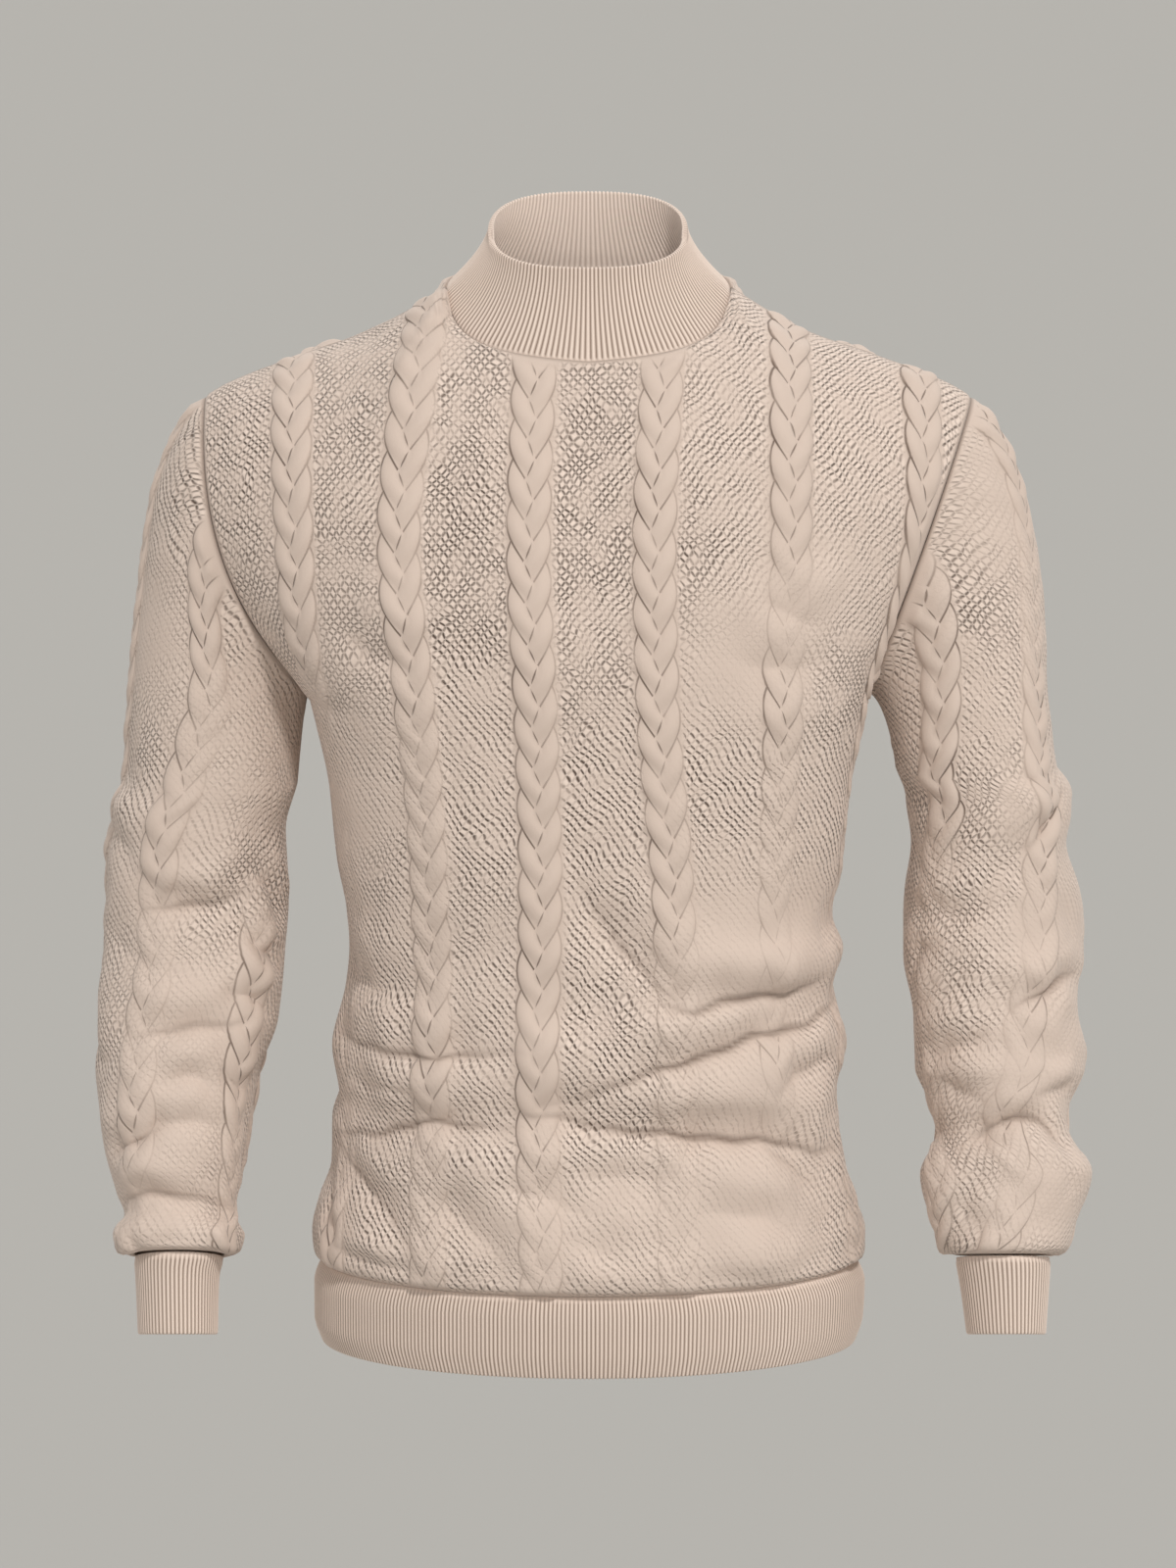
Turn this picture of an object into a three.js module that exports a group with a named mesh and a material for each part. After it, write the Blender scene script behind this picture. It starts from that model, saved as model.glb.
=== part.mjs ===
// High neck sweatshirt in its worn shape, with nobody in it: a cable-jacquard pullover of eight cut
// pieces. Front and back meet at the side and shoulder seams, the sleeves are set into the armholes,
// and rib bands, folded double, finish the neck, the hem and the wrists.
// Millimetres, +Z up, front towards -Y, the wearer's left towards +X. The origin lies midway between
// the two high shoulder points, where the neck seam meets the shoulder seams.
import * as THREE from 'three';

// ---- Driving sizes -------------------------------------------------------------------------------
const CLOTH_WALL = 2.4; // jacquard cloth, loft included
const RIB_WALL = 3; // rib cloth, folded double
const SEAM_GAP = 0.3; // between neighbouring pieces

const UNDERARM = { x: 172, z: -252 }; // foot of the armhole, on the side seam
const SHOULDER_TIP = { x: 237, y: 0, z: -68 }; // head of the armhole, on the shoulder seam
const ARMHOLE_REACH = 58; // how far the armhole bows to the front and to the back
// How far each armhole bows outwards between its ends, 1 for straight: the left arm hangs a little back,
// which pulls its front armhole straight.
const ARMHOLE_BOW = { frontRight: 2.5, frontLeft: 1, back: 3 };

const YOKE_SWELL = { front: 2.5, back: 6 }; // fullest above the underarm: the chest and the shoulder blades
const YOKE_POWER = 2.4; // squareness of level sections through the shoulders, 2 for an ellipse
const SLEEVE_POWER = 2.15;
// How strongly each sleeve head leaves its armhole, at the shoulder tip and at the underarm.
const SLEEVE_HEAD = { right: { tip: 150, underarm: 12 }, left: { tip: 168, underarm: 32 } };
const HEAD_FADE = 1.3; // how fast that fullness fades from the tip to the underarm
const HEAD_DROP = 22; // how far the fullness turns down over the tip
const HEAD_ARRIVE = { outward: 0.1, strength: 0.85 }; // how the head comes down into the arm
const NECK_POWER = 2.6;
const NECK_SEAM = { x: 88, y: -8, front: 77, back: 70 }; // half-width, level of its sides, and reach
const NECK_RIM = { x: 61.5, y: 0, reach: 62, z: 35.5, rise: 19.5 }; // tilted: low in front, high behind
const COLLAR_FLARE = 1.75; // the collar draws in fast above its seam and then stands upright
const NECK_WALL = { inward: 0.75, down: 0.65 }; // the way through the wall at the neck seam
const ARMHOLE_LEAN = 0.3; // how far the way through the wall leans into the body at the shoulder tip
const YOKE_BLEND = 0.4; // share of the rise over which the torso's section becomes the shoulders'
const FOLD_FADE = 8; // how close to a panel's side its folds run before they fade into the seam

const HEM_SEAM = -610;
const HEM_BOTTOM = -662;
const CUFF_SEAM = -601;
const CUFF_BOTTOM = -648;

// ---- Divisions of the faceted walls --------------------------------------------------------------
const PANEL_ROWS_ABOVE_UNDERARM = 10;
const NECK_STEPS = { front: 6, back: 5 }; // columns of each panel from the middle of the neck to a shoulder
const SHOULDER_STEPS = { front: 6, back: 5 }; // columns of each panel along a shoulder seam
const LONGEST_STEP = { front: 30, back: 40, sleeve: 36, band: 40 }; // between two levels
const SLEEVE_COLUMNS = 2 * PANEL_ROWS_ABOVE_UNDERARM;
const HEAD_ROWS = 7;
const HEAD_GATHER = 1.15; // above 1, the rows of a sleeve head lie closer towards its seam
const HEM_COLUMNS = 30;
const COLLAR_ROWS = 4;

// ---- Tables of sections and folds ----------------------------------------------------------------
// Height of the neck seam round the neck, by angle from the shoulder: 90 is the front, -90 the nape.
const NECK_LINE = [
  { angle: -90, z: 8 },
  { angle: -45, z: 6 },
  { angle: 0, z: 0 },
  { angle: 17, z: -13 },
  { angle: 34, z: -24 },
  { angle: 58, z: -33 },
  { angle: 90, z: -39.5 },
];

// Shoulder seam, from the high shoulder point out to the tip.
const SHOULDER_LINE = [
  { x: 88, z: 0 },
  { x: 110, z: -14 },
  { x: 137, z: -28 },
  { x: 174, z: -41 },
  { x: 221, z: -59 },
  { x: 237, z: -68 },
];

// Torso below the underarm: half-widths to the wearer's right and left of the middle, the reach of the
// front and of the back from the side seams, and the squareness of the section. The cloth blouses over
// the hem band at the foot.
const TORSO = [
  { z: -252, right: 172, left: 172, front: 128, back: 111, power: 3.1 },
  { z: -300, right: 162, left: 162, front: 126, back: 106, power: 2.8 },
  { z: -358, right: 156, left: 156, front: 123, back: 99, power: 2.5 },
  { z: -391, right: 150, left: 151, front: 122, back: 98, power: 2.4 },
  { z: -410, right: 149, left: 158, front: 122, back: 99, power: 2.35 },
  { z: -435, right: 151, left: 152, front: 121, back: 101, power: 2.3 },
  { z: -470, right: 158, left: 158, front: 124, back: 104, power: 2.25 },
  { z: -500, right: 154, left: 155, front: 121, back: 105, power: 2.2 },
  { z: -523, right: 160, left: 157, front: 124, back: 109, power: 2.2 },
  { z: -548, right: 161, left: 161, front: 125, back: 112, power: 2.15 },
  { z: -572, right: 169, left: 168, front: 127, back: 116, power: 2.1 },
  { z: -591, right: 173, left: 174, front: 129, back: 119, power: 2.05 },
  { z: -605, right: 172, left: 174, front: 128, back: 118, power: 2 },
  { z: HEM_SEAM, right: 168, left: 169, front: 122, back: 114, power: 2 },
];

// Hem band, from its seam to the fold at its foot.
const HEM = [
  { z: HEM_SEAM, right: 168, left: 169, front: 122, back: 114 },
  { z: -624, right: 172, left: 174, front: 124, back: 117 },
  { z: -646, right: 172, left: 173, front: 123, back: 116 },
  { z: HEM_BOTTOM, right: 167, left: 168, front: 120, back: 113 },
];
const HEM_POWER = TORSO[TORSO.length - 1].power;

// Sleeve sections down the arm: middle across and front to back, half-width, half-depth, and the slope
// of the section, which turns to face the hand as the forearm comes forward.
const SLEEVE_RIGHT = [
  { z: -310, x: 234, half: 53, y: 3, deep: 57, slope: 0 },
  { z: -340, x: 243, half: 54.5, y: 4, deep: 58, slope: 0.02 },
  { z: -386, x: 244, half: 57, y: 4, deep: 57, slope: 0.05 },
  { z: -420, x: 245.5, half: 56, y: -1, deep: 56, slope: 0.09 },
  { z: -455, x: 249, half: 56, y: -8, deep: 54, slope: 0.13 },
  { z: -495, x: 257, half: 50, y: -17, deep: 51, slope: 0.16 },
  { z: -536, x: 258, half: 44.5, y: -28, deep: 47, slope: 0.19 },
  { z: -563, x: 256, half: 38, y: -34, deep: 43, slope: 0.2 },
  { z: -575, x: 254, half: 34.5, y: -37, deep: 40, slope: 0.21 },
  { z: -588, x: 253.5, half: 39.5, y: -41, deep: 43, slope: 0.24 },
  { z: -597, x: 253.8, half: 37.5, y: -43, deep: 42, slope: 0.28 },
  { z: CUFF_SEAM, x: 254.2, half: 28.5, y: -44, deep: 35, slope: 0.3 },
];
const SLEEVE_LEFT = [
  { z: -300, x: 241, half: 49.5, y: 3, deep: 57, slope: 0 },
  { z: -319, x: 249.5, half: 51.5, y: 3.5, deep: 58, slope: 0.01 },
  { z: -346, x: 250, half: 48.5, y: 4, deep: 57, slope: 0.02 },
  { z: -377, x: 252, half: 54, y: 4, deep: 57, slope: 0.05 },
  { z: -418, x: 254, half: 57, y: -1, deep: 57, slope: 0.09 },
  { z: -455, x: 254, half: 51, y: -8, deep: 54, slope: 0.13 },
  { z: -486, x: 256.5, half: 52.5, y: -15, deep: 52, slope: 0.16 },
  { z: -503, x: 256, half: 45, y: -19, deep: 49, slope: 0.17 },
  { z: -524, x: 259, half: 40, y: -24, deep: 45, slope: 0.18 },
  { z: -551, x: 259, half: 52, y: -31, deep: 50, slope: 0.2 },
  { z: -580, x: 259, half: 45, y: -38, deep: 46, slope: 0.21 },
  { z: -596, x: 259.5, half: 39, y: -43, deep: 42, slope: 0.22 },
  { z: CUFF_SEAM, x: 258, half: 30, y: -44, deep: 36, slope: 0.23 },
];

// Cuffs, from the seam to the fold at the wrist.
const CUFF_RIGHT = [
  { z: CUFF_SEAM, x: 254.2, half: 28.5, y: -44, deep: 35, slope: 0.3 },
  { z: -612, x: 255.4, half: 26.2, y: -46, deep: 33, slope: 0.27 },
  { z: CUFF_BOTTOM, x: 254.9, half: 24.8, y: -54, deep: 31, slope: 0.21 },
];
const CUFF_LEFT = [
  { z: CUFF_SEAM, x: 258, half: 30, y: -44, deep: 36, slope: 0.23 },
  { z: -616, x: 259, half: 28, y: -47, deep: 34, slope: 0.22 },
  { z: CUFF_BOTTOM, x: 260, half: 24.6, y: -54, deep: 31, slope: 0.21 },
];

// The largest folds, each a soft trough (height below zero) or ridge from one end to the other. On the
// front and back the ends are given across and up, and on a sleeve by angle round the arm and level.
const FRONT_FOLDS = [
  { x: 60, z: -418, toX: 125, toZ: -412, height: 3, width: 14 },
  { x: 54, z: -437, toX: 121, toZ: -434, height: -4, width: 12 },
  { x: 59, z: -467, toX: 149, toZ: -447, height: -4, width: 11 },
  { x: 75, z: -487, toX: 150, toZ: -470, height: 3, width: 14 },
  { x: -99, z: -464, toX: -44, toZ: -461, height: -3, width: 10 },
  { x: -22, z: -499, toX: 79, toZ: -509, height: -4.5, width: 11 },
  { x: -10, z: -522, toX: 85, toZ: -530, height: 4, width: 15 },
  { x: -140, z: -530, toX: -60, toZ: -511, height: -3, width: 12 },
  { x: -130, z: -556, toX: -50, toZ: -545, height: 3, width: 16 },
  { x: 112, z: -520, toX: 143, toZ: -550, height: -3, width: 12 },
];
const BACK_FOLDS = [
  { x: -130, z: -436, toX: -25, toZ: -448, height: -4, width: 13 },
  { x: 20, z: -424, toX: 125, toZ: -440, height: -3.5, width: 13 },
  { x: -70, z: -478, toX: 60, toZ: -468, height: -4.5, width: 13 },
  { x: -60, z: -500, toX: 80, toZ: -492, height: 4, width: 17 },
  { x: -140, z: -516, toX: -40, toZ: -532, height: -4, width: 13 },
  { x: 25, z: -528, toX: 130, toZ: -512, height: -3.5, width: 13 },
];
const SLEEVE_RIGHT_FOLDS = [
  { angle: 30, z: -352, toAngle: 100, toZ: -362, height: 3, width: 13 },
  { angle: 65, z: -380, toAngle: 125, toZ: -375, height: -4, width: 10 },
  { angle: 60, z: -457, toAngle: 131, toZ: -450, height: -4, width: 11 },
  { angle: 30, z: -533, toAngle: 85, toZ: -513, height: -4, width: 10 },
  { angle: 200, z: -400, toAngle: 300, toZ: -408, height: -4, width: 12 },
  { angle: 190, z: -470, toAngle: 290, toZ: -462, height: -4, width: 12 },
];
const SLEEVE_LEFT_FOLDS = [
  { angle: 35, z: -316, toAngle: 70, toZ: -345, height: -3.5, width: 10 },
  { angle: 22, z: -412, toAngle: 60, toZ: -420, height: 3, width: 12 },
  { angle: 28, z: -430, toAngle: 80, toZ: -438, height: -5, width: 10 },
  { angle: 105, z: -460, toAngle: 150, toZ: -473, height: -4, width: 11 },
  { angle: 200, z: -395, toAngle: 300, toZ: -404, height: -4, width: 12 },
  { angle: 190, z: -466, toAngle: 300, toZ: -456, height: -4, width: 12 },
];
const FOLD_ARM_RADIUS = 52; // turns an angle round the arm into a length across a fold

// ---- Tables and curves ---------------------------------------------------------------------------
// Reads a column of a table at any place along its key, on a smooth curve that never overshoots a row.
function along(table, key, column, place) {
  const falling = table[0][key] > table[table.length - 1][key];
  const rows = falling ? [...table].reverse() : table;
  const last = rows.length - 1;
  if (place <= rows[0][key]) return rows[0][column];
  if (place >= rows[last][key]) return rows[last][column];
  let i = 0;
  while (place > rows[i + 1][key]) i += 1;
  const rate = (n) => (rows[n + 1][column] - rows[n][column]) / (rows[n + 1][key] - rows[n][key]);
  const tangent = (n) => {
    if (n === 0) return rate(0);
    if (n === last) return rate(last - 1);
    const before = rate(n - 1);
    const after = rate(n);
    return before * after > 0 ? (2 * before * after) / (before + after) : 0;
  };
  const span = rows[i + 1][key] - rows[i][key];
  const u = (place - rows[i][key]) / span;
  return hermite(rows[i][column], tangent(i) * span, rows[i + 1][column], tangent(i + 1) * span, u);
}

function hermite(start, startRate, end, endRate, u) {
  const u2 = u * u;
  const u3 = u2 * u;
  const leave = (2 * u3 - 3 * u2 + 1) * start + (u3 - 2 * u2 + u) * startRate;
  return leave + (3 * u2 - 2 * u3) * end + (u3 - u2) * endRate;
}

// Levels of a table's rows, with more between them wherever two rows lie further apart than a step.
function levelsOf(table, longestStep) {
  const levels = [table[0].z];
  for (let i = 1; i < table.length; i += 1) {
    const drop = table[i - 1].z - table[i].z;
    const steps = Math.ceil(drop / longestStep);
    for (let n = 1; n <= steps; n += 1) levels.push(table[i - 1].z - (drop * n) / steps);
  }
  return levels;
}

const radians = (degrees) => (degrees * Math.PI) / 180;
const bowed = (value, power) => Math.sign(value) * Math.abs(value) ** (2 / power);
const mix = (a, b, share) => a + (b - a) * share;

// Height of the folds at a place, a soft bell across each fold that fades out past its two ends.
function foldHeight(folds, x, z) {
  return folds.reduce((height, fold) => {
    const run = new THREE.Vector2(fold.toX - fold.x, fold.toZ - fold.z);
    const away = new THREE.Vector2(x - fold.x, z - fold.z);
    const share = THREE.MathUtils.clamp(away.dot(run) / run.lengthSq(), 0, 1);
    const distance = away.addScaledVector(run, -share).length();
    return height + fold.height * Math.exp(-((distance / fold.width) ** 2));
  }, 0);
}

// ---- Seam curves, shared by the pieces on both sides of each seam --------------------------------
// Armhole by angle: 0 at the shoulder tip, 90 in front, 180 at the underarm, 270 behind. The side is 1
// for the wearer's left and -1 for the right.
function armholePoint(angle, side) {
  const rise = (1 + Math.cos(radians(angle))) / 2;
  const front = side > 0 ? ARMHOLE_BOW.frontLeft : ARMHOLE_BOW.frontRight;
  const bow = angle <= 180 ? front : ARMHOLE_BOW.back;
  return new THREE.Vector3(
    side * (UNDERARM.x + (SHOULDER_TIP.x - UNDERARM.x) * (1 - (1 - rise) ** bow)),
    -ARMHOLE_REACH * Math.sin(radians(angle)),
    UNDERARM.z + (SHOULDER_TIP.z - UNDERARM.z) * rise,
  );
}

// Through the wall at the armhole: into the shoulder at the top, level at the sides, up at the underarm.
function armholeInward(angle, side) {
  const turn = radians(angle);
  const lean = ARMHOLE_LEAN * (1 + Math.cos(turn));
  return new THREE.Vector3(-side * lean, Math.sin(turn), -Math.cos(turn)).normalize();
}

// Across the armhole seam, from the body to the sleeve.
function armholeAcross(angle, side) {
  const run = armholePoint((angle + 1) % 360, side).sub(armholePoint((angle + 359) % 360, side));
  return run.cross(armholeInward(angle, side)).multiplyScalar(side).normalize();
}

// Neck seam by angle round the neck: 0 at the left shoulder, 90 at the front, 180 right, 270 at the nape.
function neckPoint(angle) {
  const turn = radians(angle);
  const reach = angle <= 180 ? NECK_SEAM.front : NECK_SEAM.back;
  const fromShoulder = (Math.asin(Math.sin(turn)) * 180) / Math.PI;
  return new THREE.Vector3(
    NECK_SEAM.x * bowed(Math.cos(turn), NECK_POWER),
    NECK_SEAM.y - reach * bowed(Math.sin(turn), NECK_POWER),
    along(NECK_LINE, 'angle', 'z', fromShoulder),
  );
}

// Through the wall at the neck seam: inwards and down.
function neckInward(angle) {
  const out = new THREE.Vector3(Math.cos(radians(angle)), -Math.sin(radians(angle)), 0);
  return out.multiplyScalar(-NECK_WALL.inward).setZ(-NECK_WALL.down).normalize();
}

// Across the neck seam, from the body up to the collar.
function neckAcross(angle) {
  const run = neckPoint((angle + 1) % 360).sub(neckPoint((angle + 359) % 360));
  return neckInward(angle).cross(run).normalize();
}

// ---- Cloth walls from grids of points ------------------------------------------------------------
// Outward direction at every point of a grid, from its neighbours along and across.
function outwardOf(grid, closed, turn) {
  const count = grid[0].length;
  return grid.map((row, i) => row.map((point, j) => {
    const up = grid[Math.max(i - 1, 0)][j];
    const down = grid[Math.min(i + 1, grid.length - 1)][j];
    const before = closed ? row[(j + count - 1) % count] : row[Math.max(j - 1, 0)];
    const after = closed ? row[(j + 1) % count] : row[Math.min(j + 1, count - 1)];
    const across = new THREE.Vector3().subVectors(after, before);
    return new THREE.Vector3().subVectors(down, up).cross(across).multiplyScalar(turn).normalize();
  }));
}

// Direction through the wall at every point of a grid.
function inwardOf(grid, closed, turn) {
  return outwardOf(grid, closed, turn).map((row) => row.map((normal) => normal.negate()));
}

function levelled(directions) {
  return directions.map((row) => row.map((direction) => direction.setZ(0).normalize()));
}

// The inside of a wall, which is its outer grid moved through the wall.
function insideOf(outer, inward, wall) {
  return outer.map((row, i) => row.map((point, j) => point.clone().addScaledVector(inward[i][j], wall)));
}

function ringAngles(count) {
  return Array.from({ length: count }, (_, j) => (360 * j) / count);
}

// Closed wall between an outer and an inner grid, with a rim at each end and, on a panel, at each side.
function wallBetween(outer, inner, closed, turn) {
  const rows = outer.length;
  const count = outer[0].length;
  const positions = [];
  [outer, inner].forEach((grid) => grid.flat().forEach((point) => positions.push(...point.toArray())));
  const indices = [];
  const out = (i, j) => i * count + (j % count);
  const into = (i, j) => rows * count + out(i, j);
  const facet = (a, b, c, d) => {
    if (turn > 0) indices.push(a, b, c, a, c, d);
    else indices.push(a, c, b, a, d, c);
  };
  const columns = closed ? count : count - 1;
  for (let j = 0; j < columns; j += 1) {
    for (let i = 0; i < rows - 1; i += 1) {
      facet(out(i, j), out(i + 1, j), out(i + 1, j + 1), out(i, j + 1));
      facet(into(i, j), into(i, j + 1), into(i + 1, j + 1), into(i + 1, j));
    }
    facet(out(0, j), out(0, j + 1), into(0, j + 1), into(0, j));
    facet(out(rows - 1, j), into(rows - 1, j), into(rows - 1, j + 1), out(rows - 1, j + 1));
  }
  if (!closed) {
    for (let i = 0; i < rows - 1; i += 1) {
      facet(out(i, 0), into(i, 0), into(i + 1, 0), out(i + 1, 0));
      facet(out(i, columns), out(i + 1, columns), into(i + 1, columns), into(i, columns));
    }
  }
  const geometry = new THREE.BufferGeometry();
  geometry.setAttribute('position', new THREE.Float32BufferAttribute(positions, 3));
  geometry.setIndex(indices);
  geometry.computeVertexNormals();
  return geometry;
}

function piece(name, geometry, material) {
  const mesh = new THREE.Mesh(geometry, material);
  mesh.name = name;
  return mesh;
}

// ---- Front and back ------------------------------------------------------------------------------
// Columns of a panel from the middle to each side, as shares of the half-width. At the top they follow
// the neck seam and the shoulder seam, and from the underarm down they spread evenly round the torso.
function panelColumns(neckSteps, shoulderSteps) {
  const neckShare = NECK_SEAM.x / SHOULDER_TIP.x;
  const total = neckSteps + shoulderSteps;
  const columns = [];
  for (let j = 0; j <= total; j += 1) {
    const angle = 90 * Math.max(1 - j / neckSteps, 0);
    const shoulder = Math.max(j - neckSteps, 0) / shoulderSteps;
    const onNeck = neckShare * bowed(Math.cos(radians(angle)), NECK_POWER);
    const atNeck = j <= neckSteps;
    const top = atNeck ? onNeck : mix(neckShare, 1, shoulder);
    const body = Math.sin(radians((90 * j) / total)) ** (2 / YOKE_POWER);
    columns.push({ angle, atNeck, top, body });
  }
  const mirrored = columns.slice(1).reverse().map((column) => ({ ...column, side: -1 }));
  return [...mirrored, ...columns.map((column) => ({ ...column, side: 1 }))];
}

// Angle round the neck at which a column meets it.
function neckAngle(column, facing) {
  const turned = column.side > 0 ? column.angle : 180 - column.angle;
  return facing < 0 ? turned : (360 - turned) % 360;
}

// Where a column ends at the top: on the neck seam, or on the shoulder seam beyond it.
function panelTop(column, facing) {
  if (column.angle > 0) return neckPoint(neckAngle(column, facing));
  const x = SHOULDER_TIP.x * column.top;
  const outward = (x - NECK_SEAM.x) / (SHOULDER_TIP.x - NECK_SEAM.x);
  const y = mix(NECK_SEAM.y, SHOULDER_TIP.y, outward);
  return new THREE.Vector3(column.side * x, y, along(SHOULDER_LINE, 'x', 'z', x));
}

// A point above the underarm. The level section is cut off where the armhole crosses it, and the panel
// rolls over to the shoulder and neck seams on a rounded profile.
function yokePoint(column, rise, facing) {
  const face = facing < 0 ? 'front' : 'back';
  const reach = TORSO[0][face] + YOKE_SWELL[face] * Math.sin(Math.PI * rise);
  const angle = (Math.acos(2 * rise - 1) * 180) / Math.PI;
  const edge = armholePoint(facing < 0 ? angle : 360 - angle, column.side);
  const top = panelTop(column, facing);
  const share = mix(column.body, column.top, rise * rise);
  const power = mix(TORSO[0].power, YOKE_POWER, Math.min(rise / YOKE_BLEND, 1));
  const fromNeck = Math.min(column.top / (NECK_SEAM.x / SHOULDER_TIP.x), 1);
  const roll = (1 - rise * rise) ** (1 / (1 + fromNeck * fromNeck));
  const edgeReach = 2 * ARMHOLE_REACH * Math.sqrt(rise / (1 + rise));
  const cut = (1 - (edgeReach / reach) ** power) ** (1 / power);
  const section = reach * Math.max(1 - (cut * share) ** power, 0) ** (1 / power);
  return new THREE.Vector3(edge.x * share, mix(top.y, facing * section, roll), mix(UNDERARM.z, top.z, rise));
}

function torsoPoint(column, z, facing) {
  const power = along(TORSO, 'z', 'power', z);
  const half = along(TORSO, 'z', column.side > 0 ? 'left' : 'right', z);
  const reach = along(TORSO, 'z', facing < 0 ? 'front' : 'back', z);
  const depth = Math.max(1 - column.body ** power, 0) ** (1 / power);
  return new THREE.Vector3(column.side * half * column.body, facing * reach * depth, z);
}

function panel(name, { facing, folds, material }) {
  const face = facing < 0 ? 'front' : 'back';
  const columns = panelColumns(NECK_STEPS[face], SHOULDER_STEPS[face]);
  const rises = [];
  for (let n = PANEL_ROWS_ABOVE_UNDERARM; n > 0; n -= 1) {
    rises.push((1 - Math.cos((Math.PI * n) / PANEL_ROWS_ABOVE_UNDERARM)) / 2);
  }
  const levels = levelsOf(TORSO, LONGEST_STEP[face]);
  const outer = [
    ...rises.map((rise) => columns.map((column) => yokePoint(column, rise, facing))),
    ...levels.map((z) => columns.map((column) => torsoPoint(column, z, facing))),
  ];
  const turn = -facing;
  const outward = outwardOf(outer, false, turn);
  outer.forEach((row, i) => row.forEach((point, j) => {
    const fromSeam = 1 - columns[j].body ** FOLD_FADE;
    point.addScaledVector(outward[i][j], fromSeam * foldHeight(folds, point.x, point.z));
  }));
  const inward = inwardOf(outer, false, turn);
  seatPanelEdges(outer, inward, columns, rises, facing);
  const inner = insideOf(outer, inward, CLOTH_WALL);
  return piece(name, wallBetween(outer, inner, false, turn), material);
}

// Draws a panel's edges back from its seams by half the gap, and turns the wall there to lie along them.
function seatPanelEdges(outer, inward, columns, rises, facing) {
  const back = SEAM_GAP / 2;
  const last = columns.length - 1;
  const bottom = outer.length - 1;
  columns.forEach((column, j) => {
    if (column.atNeck) {
      const angle = neckAngle(column, facing);
      outer[0][j].addScaledVector(neckAcross(angle), -back);
      inward[0][j] = neckInward(angle);
    } else {
      inward[0][j].setY(0).normalize();
    }
    if (column.angle === 0) outer[0][j].y += facing * back;
    outer[bottom][j].z += back;
    inward[bottom][j].setZ(0).normalize();
  });
  [0, last].forEach((j) => {
    const side = columns[j].side;
    outer.forEach((row, i) => {
      if (i < rises.length) {
        const angle = (Math.acos(2 * rises[i] - 1) * 180) / Math.PI;
        const round = facing < 0 ? angle : (360 - angle) % 360;
        row[j].addScaledVector(armholeAcross(round, side), -back);
        inward[i][j] = armholeInward(round, side);
      } else {
        row[j].y += facing * back;
        inward[i][j].set(-side, 0, i === rises.length ? 1 : 0).normalize();
      }
    });
    outer[rises.length][j].x -= side * back;
  });
}

// ---- Sleeves and cuffs ---------------------------------------------------------------------------
// A point of an arm section: angle 0 outside the arm, 90 in front, 180 against the body, 270 behind.
function armPoint(table, angle, z, side) {
  const turn = radians(angle);
  const across = along(table, 'z', 'half', z) * bowed(Math.cos(turn), SLEEVE_POWER);
  const forward = along(table, 'z', 'deep', z) * bowed(Math.sin(turn), SLEEVE_POWER);
  return new THREE.Vector3(
    side * (along(table, 'z', 'x', z) + across),
    along(table, 'z', 'y', z) - forward,
    z + along(table, 'z', 'slope', z) * forward,
  );
}

// A point of the sleeve head, on a curve that leaves the armhole square to its seam and comes down into
// the first arm section. The fullness over the shoulder tip fades to nothing at the underarm.
function headPoint(table, angle, u, side) {
  const start = armholePoint(angle, side).addScaledVector(armholeAcross(angle, side), SEAM_GAP / 2);
  const end = armPoint(table, angle, table[0].z, side);
  const fullness = ((1 + Math.cos(radians(angle))) / 2) ** HEAD_FADE;
  const head = SLEEVE_HEAD[side > 0 ? 'left' : 'right'];
  const leave = armholeAcross(angle, side).multiplyScalar(mix(head.underarm, head.tip, fullness));
  leave.z -= HEAD_DROP * fullness;
  const arrive = new THREE.Vector3(side * HEAD_ARRIVE.outward, 0, -1);
  arrive.multiplyScalar(HEAD_ARRIVE.strength * (start.z - end.z));
  return new THREE.Vector3(
    hermite(start.x, leave.x, end.x, arrive.x, u),
    hermite(start.y, leave.y, end.y, arrive.y, u),
    hermite(start.z, leave.z, end.z, arrive.z, u),
  );
}

function sleeve(name, { table, folds, side, material }) {
  const angles = ringAngles(SLEEVE_COLUMNS);
  const outer = [];
  for (let n = 0; n < HEAD_ROWS; n += 1) {
    const u = (n / HEAD_ROWS) ** HEAD_GATHER;
    outer.push(angles.map((angle) => headPoint(table, angle, u, side)));
  }
  levelsOf(table, LONGEST_STEP.sleeve).forEach((z) => {
    outer.push(angles.map((angle) => armPoint(table, angle, z, side)));
  });
  const turn = -side;
  const unrolled = (angle) => radians(angle) * FOLD_ARM_RADIUS;
  const placed = folds.map((fold) => ({ ...fold, x: unrolled(fold.angle), toX: unrolled(fold.toAngle) }));
  const outward = outwardOf(outer, true, turn);
  outer.forEach((row, i) => row.forEach((point, j) => {
    point.addScaledVector(outward[i][j], foldHeight(placed, unrolled(angles[j]), point.z));
  }));
  const inward = inwardOf(outer, true, turn);
  inward[0] = angles.map((angle) => armholeInward(angle, side));
  seatBottom(outer, inward, SEAM_GAP / 2);
  const inner = insideOf(outer, inward, CLOTH_WALL);
  return piece(name, wallBetween(outer, inner, true, turn), material);
}

// Lifts the last ring by a seam's half gap, and lays its wall level.
function seatBottom(outer, inward, lift) {
  const last = outer.length - 1;
  outer[last].forEach((point, j) => {
    point.z += lift;
    inward[last][j].setZ(0).normalize();
  });
}

// A rib band, from its seam, where it keeps half the gap, down to its fold.
function band(name, outer, turn, material) {
  const inward = levelled(inwardOf(outer, true, turn));
  outer[0].forEach((point) => point.setZ(point.z - SEAM_GAP / 2));
  const inner = insideOf(outer, inward, RIB_WALL);
  return piece(name, wallBetween(outer, inner, true, turn), material);
}

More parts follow.
